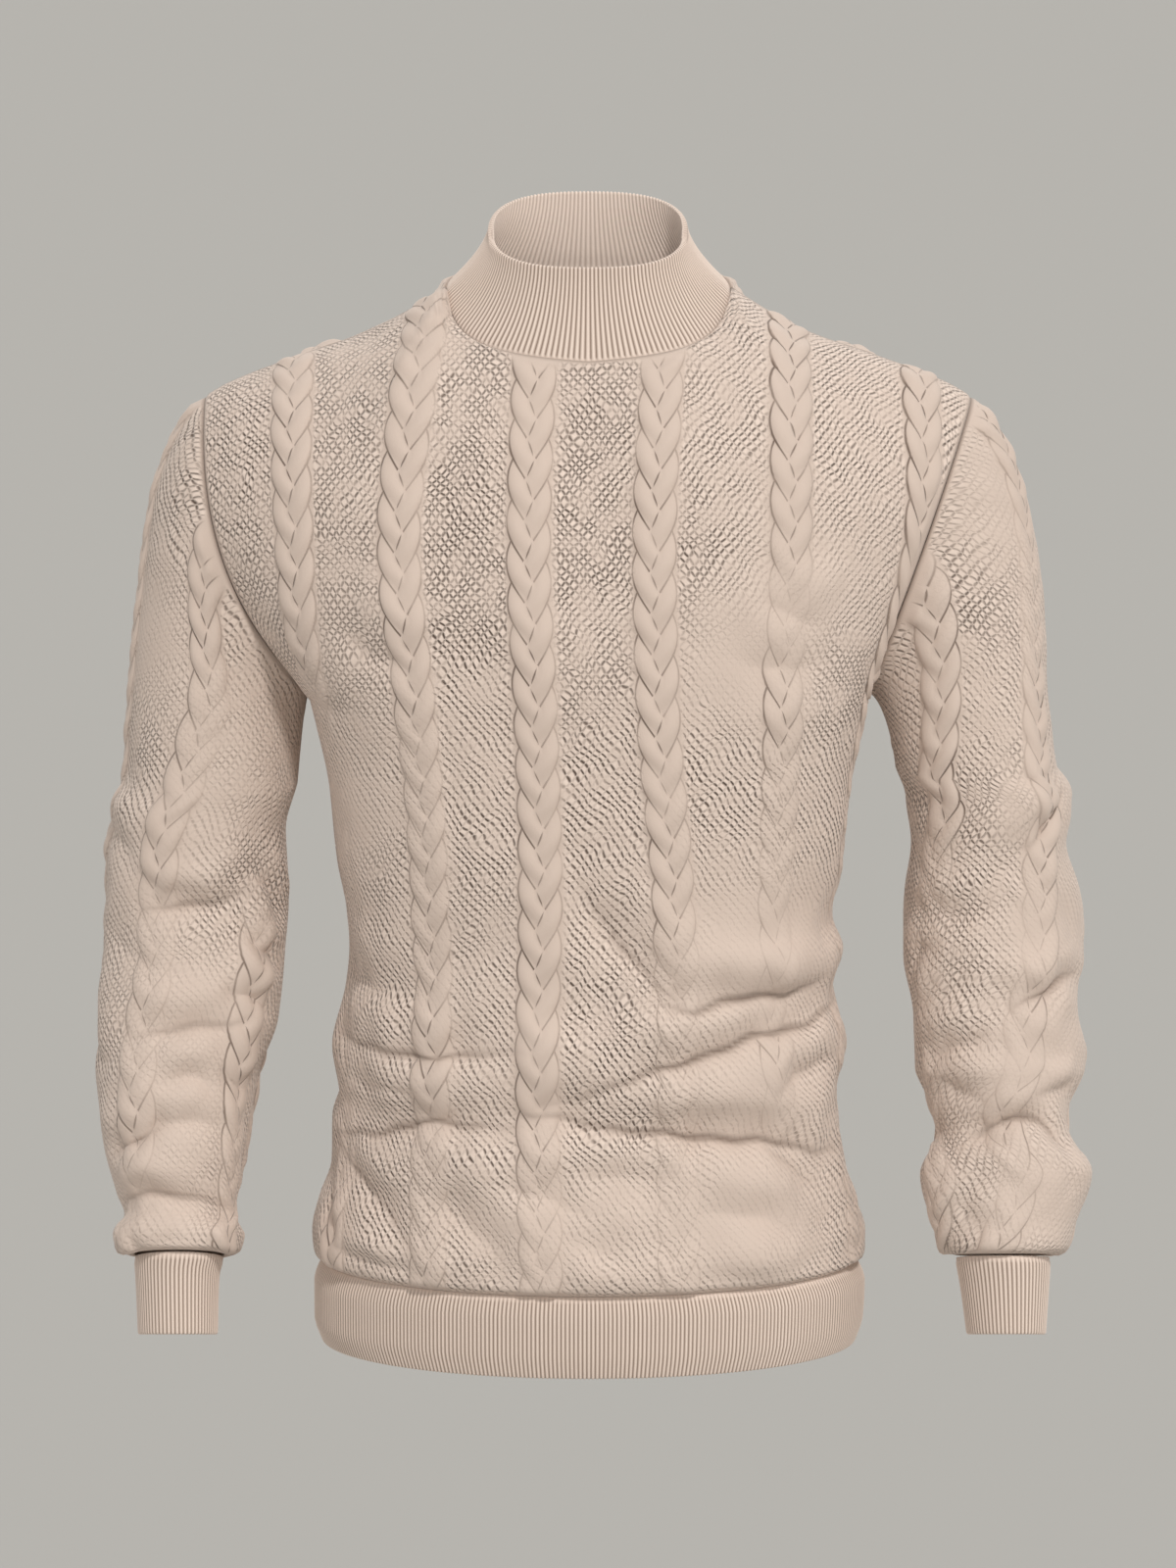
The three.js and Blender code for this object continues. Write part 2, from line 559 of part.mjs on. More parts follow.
function cuff(name, { table, side, material }) {
  const angles = ringAngles(SLEEVE_COLUMNS);
  const levels = levelsOf(table, LONGEST_STEP.band);
  const outer = levels.map((z) => angles.map((angle) => armPoint(table, angle, z, side)));
  return band(name, outer, -side, material);
}

// ---- Hem band and collar -------------------------------------------------------------------------
function hemPoint(angle, z) {
  const turn = radians(angle);
  const half = along(HEM, 'z', Math.cos(turn) >= 0 ? 'left' : 'right', z);
  const reach = along(HEM, 'z', Math.sin(turn) >= 0 ? 'front' : 'back', z);
  const across = bowed(Math.cos(turn), HEM_POWER);
  const forward = bowed(Math.sin(turn), HEM_POWER);
  return new THREE.Vector3(half * across, -reach * forward, z);
}

function hemBand(name, { material }) {
  const angles = ringAngles(HEM_COLUMNS);
  const outer = levelsOf(HEM, LONGEST_STEP.band).map((z) => angles.map((angle) => hemPoint(angle, z)));
  return band(name, outer, -1, material);
}

function rimPoint(angle) {
  const turn = radians(angle);
  const forward = bowed(Math.sin(turn), NECK_POWER);
  return new THREE.Vector3(
    NECK_RIM.x * bowed(Math.cos(turn), NECK_POWER),
    NECK_RIM.y - NECK_RIM.reach * forward,
    NECK_RIM.z - NECK_RIM.rise * forward,
  );
}

function collar(name, { material }) {
  const halfTurn = (steps, from) => Array.from({ length: 2 * steps }, (_, j) => from + (90 * j) / steps);
  const angles = [...halfTurn(NECK_STEPS.front, 0), ...halfTurn(NECK_STEPS.back, 180)];
  const outer = [];
  for (let n = 0; n <= COLLAR_ROWS; n += 1) {
    const height = 1 - n / COLLAR_ROWS;
    const drawnIn = 1 - (1 - height) ** COLLAR_FLARE;
    outer.push(angles.map((angle) => {
      const seam = neckPoint(angle).addScaledVector(neckAcross(angle), SEAM_GAP / 2);
      const rim = rimPoint(angle);
      const x = mix(seam.x, rim.x, drawnIn);
      const y = mix(seam.y, rim.y, drawnIn);
      return new THREE.Vector3(x, y, mix(seam.z, rim.z, height));
    }));
  }
  const inward = inwardOf(outer, true, -1);
  inward[0].forEach((direction) => direction.setZ(0).normalize());
  inward[COLLAR_ROWS] = angles.map((angle) => neckInward(angle));
  const inner = insideOf(outer, inward, RIB_WALL);
  return piece(name, wallBetween(outer, inner, true, -1), material);
}

// ---- The garment ---------------------------------------------------------------------------------
const jacquard = () => new THREE.MeshStandardMaterial({ color: '#cbbaab', roughness: 0.9, metalness: 0 });
const rib = () => new THREE.MeshStandardMaterial({ color: '#cdbcad', roughness: 0.92, metalness: 0 });

const sweatshirt = new THREE.Group();
sweatshirt.add(
  panel('front', { facing: -1, folds: FRONT_FOLDS, material: jacquard() }),
  panel('back', { facing: 1, folds: BACK_FOLDS, material: jacquard() }),
  sleeve('sleeve_left', { table: SLEEVE_LEFT, folds: SLEEVE_LEFT_FOLDS, side: 1, material: jacquard() }),
  sleeve('sleeve_right', { table: SLEEVE_RIGHT, folds: SLEEVE_RIGHT_FOLDS, side: -1, material: jacquard() }),
  collar('collar', { material: rib() }),
  hemBand('hem_band', { material: rib() }),
  cuff('cuff_left', { table: CUFF_LEFT, side: 1, material: rib() }),
  cuff('cuff_right', { table: CUFF_RIGHT, side: -1, material: rib() }),
);

export default sweatshirt;
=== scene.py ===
import bpy
import numpy as np
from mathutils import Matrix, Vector


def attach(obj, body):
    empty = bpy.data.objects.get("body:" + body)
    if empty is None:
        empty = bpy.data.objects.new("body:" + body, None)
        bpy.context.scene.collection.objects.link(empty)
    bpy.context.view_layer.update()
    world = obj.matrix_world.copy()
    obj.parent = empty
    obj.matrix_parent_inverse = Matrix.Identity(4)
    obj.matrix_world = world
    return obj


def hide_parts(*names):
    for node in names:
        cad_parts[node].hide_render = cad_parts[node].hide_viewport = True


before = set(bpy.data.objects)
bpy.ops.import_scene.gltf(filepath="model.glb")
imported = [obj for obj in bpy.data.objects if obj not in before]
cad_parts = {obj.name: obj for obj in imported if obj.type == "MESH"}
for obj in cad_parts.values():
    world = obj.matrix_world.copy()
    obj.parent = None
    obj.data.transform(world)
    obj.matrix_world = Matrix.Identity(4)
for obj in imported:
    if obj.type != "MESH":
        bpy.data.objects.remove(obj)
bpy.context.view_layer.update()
MM = 0.001

# ---- Camera ---------------------------------------------------------------------------------------
# A long lens in front of the chest, a little above it, so that the collar shows its inside at the back.
CAMERA_PLACE = Vector((0, -4.46, 0.316))
CAMERA_AIM = Vector((0, 0, -0.310))


def placed(name, data):
    """A new object, put into the scene."""
    thing = bpy.data.objects.new(name, data)
    bpy.context.collection.objects.link(thing)
    return thing


camera = placed("camera", bpy.data.cameras.new("camera"))
camera.data.sensor_width = 36
camera.data.lens = 166.1
camera.data.clip_end = 500
camera.location = CAMERA_PLACE
camera.rotation_euler = (CAMERA_AIM - CAMERA_PLACE).to_track_quat("-Z", "Y").to_euler()
bpy.context.scene.camera = camera

# ---- Studio ---------------------------------------------------------------------------------------
# A wide pale floor well below the hem, a soft key from high in front, weaker lights from both sides,
# from low in front and from behind, and an even grey all round.
FLOOR_LEVEL = -1.35
FLOOR_HALF = 120


class Wire:
    """What comes out of a node. Sums on it are nodes too."""

    def __init__(self, socket):
        self.socket = socket

    def math(self, operation, *others):
        node = self.socket.id_data.nodes.new("ShaderNodeMath")
        node.operation = operation
        return fed(node, dict(enumerate((self, *others))))

    def __add__(self, other):
        return self.math("ADD", other)

    def __sub__(self, other):
        return self.math("SUBTRACT", other)

    def __mul__(self, other):
        return self.math("MULTIPLY", other)

    def __truediv__(self, other):
        return self.math("DIVIDE", other)

    def __abs__(self):
        return self.math("ABSOLUTE")


def fed(node, values, output=0):
    """Gives a node's inputs, by name or number, their values or wires, and returns what comes out."""
    for key, value in values.items():
        if isinstance(value, Wire):
            node.id_data.links.new(value.socket, node.inputs[key])
        else:
            node.inputs[key].default_value = value
    return Wire(node.outputs[output])


floor_mesh = bpy.data.meshes.new("floor")
corners = [(x * FLOOR_HALF, y * FLOOR_HALF, FLOOR_LEVEL) for x, y in ((-1, -1), (1, -1), (1, 1), (-1, 1))]
floor_mesh.from_pydata(corners, [], [(0, 1, 2, 3)])
floor = placed("floor", floor_mesh)
paper = bpy.data.materials.new("floor_paper")
paper.use_nodes = True
matt = {"Base Color": (0.444, 0.434, 0.413, 1), "Roughness": 1, "Specular IOR Level": 0}
fed(paper.node_tree.nodes["Principled BSDF"], matt)
floor_mesh.materials.append(paper)

# Each light's place to shine from, strength, softness in degrees and colour.
SUNS = {
    "key": ((0.3, -1, 0.9), 1.5, 8, (1, 0.985, 0.96)),
    "fill": ((-0.4, -1, 0.05), 0.45, 30, (1, 0.995, 0.99)),
    "left": ((-1, -0.35, 0.25), 0.15, 40, (0.98, 0.985, 1)),
    "right": ((1, -0.4, 0.25), 0.6, 40, (1, 0.99, 0.98)),
    "low": ((0.2, -1, -0.8), 0.15, 50, (1, 1, 1)),
    "back": ((0.1, 1, 0.8), 1, 40, (1, 0.99, 0.98)),
}
for name, (place, strength, softness, colour) in SUNS.items():
    sun = placed(name, bpy.data.lights.new(name, "SUN"))
    sun.data.energy = strength
    sun.data.angle = np.radians(softness)
    sun.data.color = colour
    sun.rotation_euler = (-Vector(place)).to_track_quat("-Z", "Y").to_euler()
world = bpy.data.worlds.new("studio")
world.use_nodes = True
fed(world.node_tree.nodes["Background"], {"Color": (0.97, 0.96, 0.935, 1), "Strength": 0.5})
bpy.context.scene.world = world
bpy.context.scene.view_settings.view_transform = "Standard"

# ---- Front panel ----------------------------------------------------------------------------------
# The front of the body, one piece of cable jacquard, cut wide enough to blouse over the hem band and
# sewn to the back at the sides and shoulders, to the sleeves, and to the two rib bands.
CLOTH_WALL = 2.4
SEAM_GAP = 0.3
UNDERARM = (172, -252)
SHOULDER_TIP = (237, -68)
ARMHOLE_REACH = 58
YOKE_POWER = 2.4
YOKE_BLEND = 0.4
NECK_POWER = 2.6
NECK_SEAM = {"x": 88, "y": -8, "front": 77, "back": 70}
HEM_SEAM = -610


def table(names, *rows):
    """A table of sizes, its first column the one it is read by."""
    return dict(zip(names.split(), np.array(sorted(rows), float).T))


NECK_LINE = table(
    "angle z", (-90, 8), (-45, 6), (0, 0), (17, -13), (34, -24), (58, -33), (90, -39.5)
)
SHOULDER_LINE = table(
    "x z", (88, 0), (110, -14), (137, -28), (174, -41), (221, -59), (237, -68)
)
TORSO = table(
    "z right left front back power",
    (-252, 172, 172, 128, 111, 3.1),
    (-300, 162, 162, 126, 106, 2.8),
    (-358, 156, 156, 123, 99, 2.5),
    (-391, 150, 151, 122, 98, 2.4),
    (-410, 149, 158, 122, 99, 2.35),
    (-435, 151, 152, 121, 101, 2.3),
    (-470, 158, 158, 124, 104, 2.25),
    (-500, 154, 155, 121, 105, 2.2),
    (-523, 160, 157, 124, 109, 2.2),
    (-548, 161, 161, 125, 112, 2.15),
    (-572, 169, 168, 127, 116, 2.1),
    (-591, 173, 174, 129, 119, 2.05),
    (-605, 172, 174, 128, 118, 2),
    (HEM_SEAM, 168, 169, 122, 114, 2),
)


def hermite(start, start_rate, end, end_rate, u):
    u2, u3 = u * u, u * u * u
    leave = (2 * u3 - 3 * u2 + 1) * start + (u3 - 2 * u2 + u) * start_rate
    return leave + (3 * u2 - 2 * u3) * end + (u3 - u2) * end_rate


def along(rows, column, place):
    """A column of a table at any place, on a smooth curve that never overshoots a row."""
    x = next(iter(rows.values()))
    y = rows[column]
    rate = np.diff(y) / np.diff(x)
    both = rate[:-1] * rate[1:]
    total = np.where(both > 0, rate[:-1] + rate[1:], 1)
    tangent = np.concatenate([rate[:1], np.where(both > 0, 2 * both / total, 0), rate[-1:]])
    place = np.clip(place, x[0], x[-1])
    i = np.clip(np.searchsorted(x, place, "right") - 1, 0, len(x) - 2)
    span = x[i + 1] - x[i]
    return hermite(y[i], tangent[i] * span, y[i + 1], tangent[i + 1] * span, (place - x[i]) / span)


def bowed(value, power):
    return np.sign(value) * np.abs(value) ** (2 / power)


def mix(a, b, share):
    return a + (b - a) * share


def smooth_step(value, low, high):
    share = np.clip((value - low) / (high - low), 0, 1)
    return share * share * (3 - 2 * share)


def bell(away, reach, height=1):
    """A soft bump, fading out past its reach."""
    return height * np.exp(-((away / reach) ** 2))


def running(steps):
    """The sum of the steps before each place along the last axis."""
    return np.concatenate([np.zeros((*steps.shape[:-1], 1)), np.cumsum(steps, axis=-1)], axis=-1)


def armhole_point(angle, side):
    """A point of the armhole seam by angle: 0 at the shoulder tip, 90 in front, 180 at the underarm."""
    turn = np.radians(angle)
    rise = (1 + np.cos(turn)) / 2
    bow = np.where(np.mod(angle, 360) <= 180, 1 if side > 0 else 2.5, 3)
    x = UNDERARM[0] + (SHOULDER_TIP[0] - UNDERARM[0]) * (1 - (1 - rise) ** bow)
    z = UNDERARM[1] + (SHOULDER_TIP[1] - UNDERARM[1]) * rise
    return np.stack([side * x, -ARMHOLE_REACH * np.sin(turn), z], -1)


def neck_point(angle):
    """A point of the neck seam by angle: 0 at the left shoulder, 90 in front, 270 at the nape."""
    turn = np.radians(angle)
    reach = np.where(np.mod(angle, 360) <= 180, NECK_SEAM["front"], NECK_SEAM["back"])
    x = NECK_SEAM["x"] * bowed(np.cos(turn), NECK_POWER)
    y = NECK_SEAM["y"] - reach * bowed(np.sin(turn), NECK_POWER)
    return np.stack([x, y, along(NECK_LINE, "z", np.degrees(np.arcsin(np.sin(turn))))], -1)


def panel_surface(facing, swell, yoke_rows, torso_rows, samples=161):
    """Points of a panel, dense across it, from the neck and shoulder seams down to the hem seam, and
    the width of cloth from the middle to each point."""
    face = "front" if facing < 0 else "back"
    share = np.linspace(-1, 1, 2 * samples - 1)
    side = np.where(share < 0, -1, 1)
    step = np.abs(share)
    neck_share = NECK_SEAM["x"] / SHOULDER_TIP[0]
    angle = 90 * np.maximum(1 - 2 * step, 0)
    on_neck = neck_share * bowed(np.cos(np.radians(angle)), NECK_POWER)
    top_share = np.where(step <= 0.5, on_neck, mix(neck_share, 1, 2 * step - 1))
    body = np.sin(np.radians(90 * step)) ** (2 / YOKE_POWER)

    round_neck = np.where(side > 0, angle, 180 - angle)
    top = neck_point(round_neck if facing < 0 else 360 - round_neck)
    x = SHOULDER_TIP[0] * top_share
    outward = np.clip((x - NECK_SEAM["x"]) / (SHOULDER_TIP[0] - NECK_SEAM["x"]), 0, 1)
    seam = np.stack([side * x, mix(NECK_SEAM["y"], 0, outward), along(SHOULDER_LINE, "z", x)], -1)
    top = np.where((step < 0.5)[:, None], top, seam)

    rise = yoke_rows[:, None]
    reach = along(TORSO, face, UNDERARM[1]) + swell * np.sin(np.pi * rise)
    round_arm = np.degrees(np.arccos(2 * rise - 1))
    round_arm = round_arm if facing < 0 else 360 - round_arm
    edge = [np.abs(armhole_point(round_arm, s)[..., 0]) for s in (-1, 1)]
    edge_x = np.where(side < 0, edge[0], edge[1])
    width = mix(body, top_share, rise**2)
    power = mix(TORSO["power"][-1], YOKE_POWER, np.minimum(rise / YOKE_BLEND, 1))
    from_neck = np.minimum(top_share / neck_share, 1)
    roll = (1 - rise**2) ** (1 / (1 + from_neck**2))
    edge_reach = 2 * ARMHOLE_REACH * np.sqrt(rise / (1 + rise))
    cut = (1 - (edge_reach / reach) ** power) ** (1 / power)
    level = reach * np.maximum(1 - (cut * width) ** power, 0) ** (1 / power)
    yoke_x = side * edge_x * width
    yoke_y = mix(top[:, 1], facing * level, roll)
    yoke_z = mix(UNDERARM[1], top[:, 2], rise)

    z = torso_rows[:, None]
    power = along(TORSO, "power", z)
    half = np.where(side > 0, along(TORSO, "left", z), along(TORSO, "right", z))
    depth = along(TORSO, face, z) * np.maximum(1 - body**power, 0) ** (1 / power)
    torso = np.stack([side * half * body, facing * depth, z + 0 * body], -1)

    points = np.concatenate([np.stack([yoke_x, yoke_y, yoke_z], -1), torso])
    flat_y = np.concatenate([level, depth])
    steps = np.hypot(np.diff(points[..., 0], axis=1), np.diff(flat_y, axis=1))
    width = running(steps)
    return points, width - width[:, samples - 1 : samples]


def outward_of(grid, closed, outside):
    """Unit directions out of a grid of points, and whether its rows and columns turn that way round.
    Outside is a direction that points out at every point of the grid's middle row."""
    down = np.gradient(grid, axis=0)
    across = np.gradient(grid, axis=1)
    if closed:
        ends = grid[:, 1] - grid[:, -2]
        across[:, 0], across[:, -1] = ends / 2, ends / 2
    normal = np.cross(down, across)
    normal /= np.maximum(np.linalg.norm(normal, axis=-1, keepdims=True), 1e-9)
    middle = len(grid) // 2
    turn = 1 if (normal[middle] * outside).sum() > 0 else -1
    return normal * turn, turn


CABLE_SPACING = 79
CABLE_REPEAT = 75  # length in which each strand of a plait comes back to its place
CABLE_STAGGER = 31  # by which each cable's crossings stand lower than the last one's
STRAND_SWING = 7.5
STRAND_HALF = 5.9
STRAND_RISE = 2.6
STRAND_CROSSING = 1.1


def plait(across, up):
    """Height of a three-strand plait above its ground."""
    heights = []
    for strand in range(3):
        turn = -2 * np.pi * up / CABLE_REPEAT + 2 * np.pi * strand / 3
        lean = STRAND_SWING * np.cos(turn) * 2 * np.pi / CABLE_REPEAT
        away = (across - STRAND_SWING * np.sin(turn)) / np.sqrt(1 + lean**2) / STRAND_HALF
        dome = np.sqrt(np.maximum(1 - away**2, 0))
        heights.append(dome * (STRAND_RISE - STRAND_CROSSING * np.sin(2 * turn)))
    return np.max(heights, axis=0)


def drawn_smooth(grid, spots):
    """How far the knit still stands out, near spots where the cloth is drawn smooth."""
    left = np.ones(grid.shape[:2])
    for x, z, reach, share in spots:
        away = np.hypot(grid[..., 0] - x, grid[..., 2] - z) / reach
        left *= 1 - share * np.exp(-(away**3))
    return left


PLAIT_EDGE = (13, 15.5)  # from a cable's middle, over which its plait gives way to the ground
SEEDED_FROM = (0.5, 4)  # from a seam, over which the seeds come up
TOP_FADE = (2, 12)  # from the seams above, below and beside, over which the plaits' relief comes up
FOOT_FADE = (2, 10)
PANEL_SIDE_FADE = (1.5, 9)
SLEEVE_SIDE_FADE = (1, 8)


def cables(grid, across, up, lines, shown, to_seam, flat_spots, plain_spots):
    """Relief of a row of cables, each point's place on the nearest one, and how strongly plaits and seeds
    show. Lines are the cables' places across at each row, shown is the strength of the relief."""
    beside = across[..., None] - lines[:, None]
    number = np.argmin(np.abs(beside), axis=-1)
    beside = np.take_along_axis(beside, number[..., None], axis=-1)[..., 0]
    run = up + CABLE_STAGGER * number
    ground = smooth_step(np.abs(beside), *PLAIT_EDGE)
    plain = drawn_smooth(grid, plain_spots)
    shown = shown * plain
    seeded = mix(1, ground, plain) * smooth_step(to_seam, *SEEDED_FROM) * drawn_smooth(grid, flat_spots)
    marks = {"plaited": (1 - ground) * shown, "ground": seeded}
    return plait(beside, run) * shown, np.stack([beside, run], -1), marks


def cable_rows(lines, up):
    """The cables' places across at each height."""
    return np.stack([along(lines, key, up) for key in lines if key != "up"], axis=-1)


# Least and greatest length and height of each wave of the unevenness.
WAVES = [(70, 170, 0.38)] * 10 + [(28, 55, 0.13)] * 8


def undulation(across, up, seed):
    """The slow unevenness of soft cloth: a few long waves and some shorter ones."""
    chance = np.random.default_rng(seed)
    total = 0
    for least, greatest, height in WAVES:
        length = chance.uniform(least, greatest)
        heading = chance.uniform(0, 2 * np.pi)
        turned = across * np.cos(heading) + up * np.sin(heading)
        total = total + height * np.sin(2 * np.pi * turned / length + chance.uniform(0, 2 * np.pi))
    return total


def smooth_path(points, steps=5):
    """A rounded path through a few places."""
    points = np.array(points, float)
    before = np.vstack([2 * points[0] - points[1], points, 2 * points[-1] - points[-2]])
    path = []
    for a, b, c, d in zip(before, before[1:], before[2:], before[3:]):
        for n in range(steps):
            path.append(hermite(b, (c - a) / 2, c, (d - b) / 2, n / steps))
    return np.array([*path, points[-1]])


CREASE_END = 1.16  # where a crease has faded out, in halves of its length
CREASE_FADE = 1.2
CREASE_SPREAD = 0.6  # how much wider it is where it fades out
RIPPLES = ((0.8, 5.3), (0.9, 11.7))  # height and length of the waver across its run
TROUGH_SIDES = (1.6, 1.1)  # how far its trough reaches above and below it, in widths
TROUGH_DEPTH = 1.4
TROUGH_POWER = 1.2
SWELL_HEIGHT = 1.4
SWELL_PLACE = 3.2  # in widths above it
REST_PLACE = 3  # in widths below it
# The painted shade line along a crease: how far it reaches and how dark it is.
CREASE_SHADE_REACH = 2.2
CREASE_SHADE_STRENGTH = 0.95
CREASE_SHADE_DEPTHS = (3, 6)  # between which creases begin to show a line of painted shade


def crease_height(across, up, path, depth, width, over, under):
    """A crease: a trough that fades out to both ends, with cloth that swells over it and settles below it.
    Also the fine line of painted shade along it."""
    path = path if path[0][0] <= path[-1][0] else path[::-1]
    start = path[0]
    length = np.hypot(*(path[-1] - start))
    run = (path[-1] - start) / length
    aside = np.array([-run[1], run[0]])
    place = np.stack([across, up], -1) - start
    share = place @ run / length
    own = path - start
    bend = np.interp(share, own @ run / length, own @ aside)
    starts = (depth * 7, width * 5)
    ripple = sum(high * np.sin(place @ run / long + at) for (high, long), at in zip(RIPPLES, starts))
    away = place @ aside - bend - ripple
    opened = np.maximum(1 - ((2 * share - 1) / CREASE_END) ** 2, 0) ** CREASE_FADE
    wide = width * (1 + CREASE_SPREAD - CREASE_SPREAD * opened)
    reach = np.where(away > 0, TROUGH_SIDES[0] * wide, TROUGH_SIDES[1] * wide)
    trough = -TROUGH_DEPTH * depth * np.exp(-(np.abs(away / reach) ** TROUGH_POWER))
    swell = bell(away - SWELL_PLACE * wide, 2 * wide, SWELL_HEIGHT * over)
    rest = bell(away + REST_PLACE * wide, 2 * wide, under)
    line = bell(away, CREASE_SHADE_REACH, CREASE_SHADE_STRENGTH) * opened * smooth_step(depth, *CREASE_SHADE_DEPTHS)
    return opened * (trough + swell + rest), line


def creased(folds, rows, first, second, across, up, deeper=1, wider=1):
    """Folds with creases added, and the fine lines of painted shade along them. The creases' places are
    given in two other measures than the cloth's own."""
    lines = np.zeros_like(across)
    for places, depth, width, over, under in rows:
        found = []
        for a, b in places:
            nearest = np.argmin((first - a) ** 2 + (second - b) ** 2)
            found.append((across.flat[nearest], up.flat[nearest]))
        sizes = (deeper * depth, wider * width, over, under)
        fold, line = crease_height(across, up, smooth_path(found), *sizes)
        folds = folds + fold
        lines = np.maximum(lines, line)
    return folds, lines


def lowest_near(values, reach):
    """The least value of each column within so many rows of each row."""
    padded = np.pad(values, ((reach, reach), (0, 0)), "edge")
    return np.min([padded[n : n + len(values)] for n in range(2 * reach + 1)], axis=0)


def mark_points(mesh, marks):
    """Writes named numbers on the points of a mesh."""
    for name, values in marks.items():
        attribute = mesh.attributes.new(name, "FLOAT", "POINT")
        attribute.data.foreach_set("value", values.ravel().astype(np.float32))


def folded(grid, closed, outside, folds):
    """Outside and inside of a piece with its folds, directions out of it, and which way it turns."""
    outward, turn = outward_of(grid, closed, outside)
    inner = grid + outward * (lowest_near(folds, INNER_THINNING) - CLOTH_WALL)[..., None]
    formed = grid + outward * folds[..., None]
    return formed, inner[::INNER_THINNING], outward_of(formed, closed, outside)[0], turn


def cloth_piece(name, outer, inner, across, up, plaited, marks, closed, turn):
    """A thin closed wall of jacquard. Outer is a fine grid, inner has fewer rows, and the columns are the
    same; on a tube the last column repeats the first. Across and up are places on the flat cloth."""
    rows, columns = outer.shape[:2]
    thinned = (rows - 1) // (len(inner) - 1)
    points = np.concatenate([outer, inner]).reshape(-1, 3)
    ids = np.arange(len(points)).reshape(-1, columns)
    outside, inside = ids[:rows], ids[rows:]
    loop = np.concatenate([outside, inside[::-1], outside[:1]])
    quads = np.stack([loop[:-1, :-1], loop[1:, :-1], loop[1:, 1:], loop[:-1, 1:]], -1).reshape(-1, 4)
    fans = []
    for column in () if closed else (0, columns - 1):
        for n in range(len(inner) - 1):
            upper, lower = inside[n, column], inside[n + 1, column]
            edge = outside[n * thinned : (n + 1) * thinned + 1, column]
            half = thinned // 2
            fan = [(a, b, upper) for a, b in zip(edge[:half], edge[1 : half + 1])]
            fan += [(a, b, lower) for a, b in zip(edge[half:-1], edge[half + 1 :])]
            fan.append((edge[half], lower, upper))
            fans += fan if column else [face[::-1] for face in fan]
    faces = [face[::turn] for face in quads.tolist() + [list(fan) for fan in fans]]

    own = ids % columns
    own = np.where(closed & (own == columns - 1), ids - columns + 1, ids).ravel()
    used = np.unique(own)
    number = np.zeros(len(points), int)
    number[used] = np.arange(len(used))
    mesh = bpy.data.meshes.new(name)
    mesh.from_pydata((points[used] * MM).tolist(), [], [[number[own[c]] for c in face] for face in faces])
    corner = np.array([c for face in faces for c in face])
    for key, places in (("cloth", np.stack([across, up], -1)), ("plait", plaited)):
        spots = np.concatenate([places, places[::thinned]]).reshape(-1, 2)
        layer = mesh.uv_layers.new(name=key)
        layer.uv.foreach_set("vector", (spots[corner] * MM).astype(np.float32).ravel())
    blank = np.zeros(inner.shape[:2])
    mark_points(mesh, {key: np.concatenate([mark, blank]).ravel()[used] for key, mark in marks.items()})
    mesh.shade_smooth()
    mesh.materials.append(jacquard)
    return placed(name, mesh)


def named(tree, name):
    """A mark on a piece's points."""
    node = tree.nodes.new("ShaderNodeAttribute")
    node.attribute_name = name
    return Wire(node.outputs["Fac"])


def mapped(tree, name):
    """The two measures of one of a piece's maps."""
    place = tree.nodes.new("ShaderNodeUVMap")
    place.uv_map = name
    split = tree.nodes.new("ShaderNodeSeparateXYZ")
    return fed(split, {0: Wire(place.outputs[0])}), Wire(split.outputs[1])


def blended(share, first, second):
    """The first colour, turning into the second by a share."""
    node = share.socket.id_data.nodes.new("ShaderNodeMix")
    node.data_type = "RGBA"
    return fed(node, {0: share, 6: first, 7: second}, 2)


def ranged(value, low, high, first, last):
    """A value carried evenly from one range into another, and held at its ends."""
    node = value.socket.id_data.nodes.new("ShaderNodeMapRange")
    return fed(node, dict(enumerate((value, low, high, first, last))))


def speckle(tree, size, detail=2):
    """Even noise on the piece's own place, its features about a size across, in metres."""
    place = Wire(tree.nodes.new("ShaderNodeTexCoord").outputs["Object"])
    noise = tree.nodes.new("ShaderNodeTexNoise")
    return fed(noise, {"Vector": place, "Scale": 1 / size, "Detail": detail}, "Fac")


def matt_knit(name, roughness, sheen):
    """A new material of matt yarn, and its shader."""
    material = bpy.data.materials.new(name)
    material.use_nodes = True
    shader = material.node_tree.nodes["Principled BSDF"]
    fed(shader, {"Roughness": roughness, "Specular IOR Level": 0.22})
    fed(shader, {"Sheen Weight": sheen, "Sheen Roughness": 0.45, "Sheen Tint": (1, 0.95, 0.9, 1)})
    return material, shader


def surfaced(shader, colour, height, strength, distance):
    """Gives a shader its colour, and a height as bump."""
    bump = shader.id_data.nodes.new("ShaderNodeBump")
    normal = fed(bump, {"Height": height, "Strength": strength, "Distance": distance})
    fed(shader, {"Base Color": colour, "Normal": normal})


STRAND_SHADE_HALF = 0.75  # of the painted shade line along each edge of a strand, in mm
SEED_WIDTH = 0.0054  # the ground's diamond seeds, across and up
SEED_HEIGHT = 0.0066
GROOVE_POWER = 8.5  # the higher, the finer the dashes of painted shade between the seeds
YARN = 0.0007


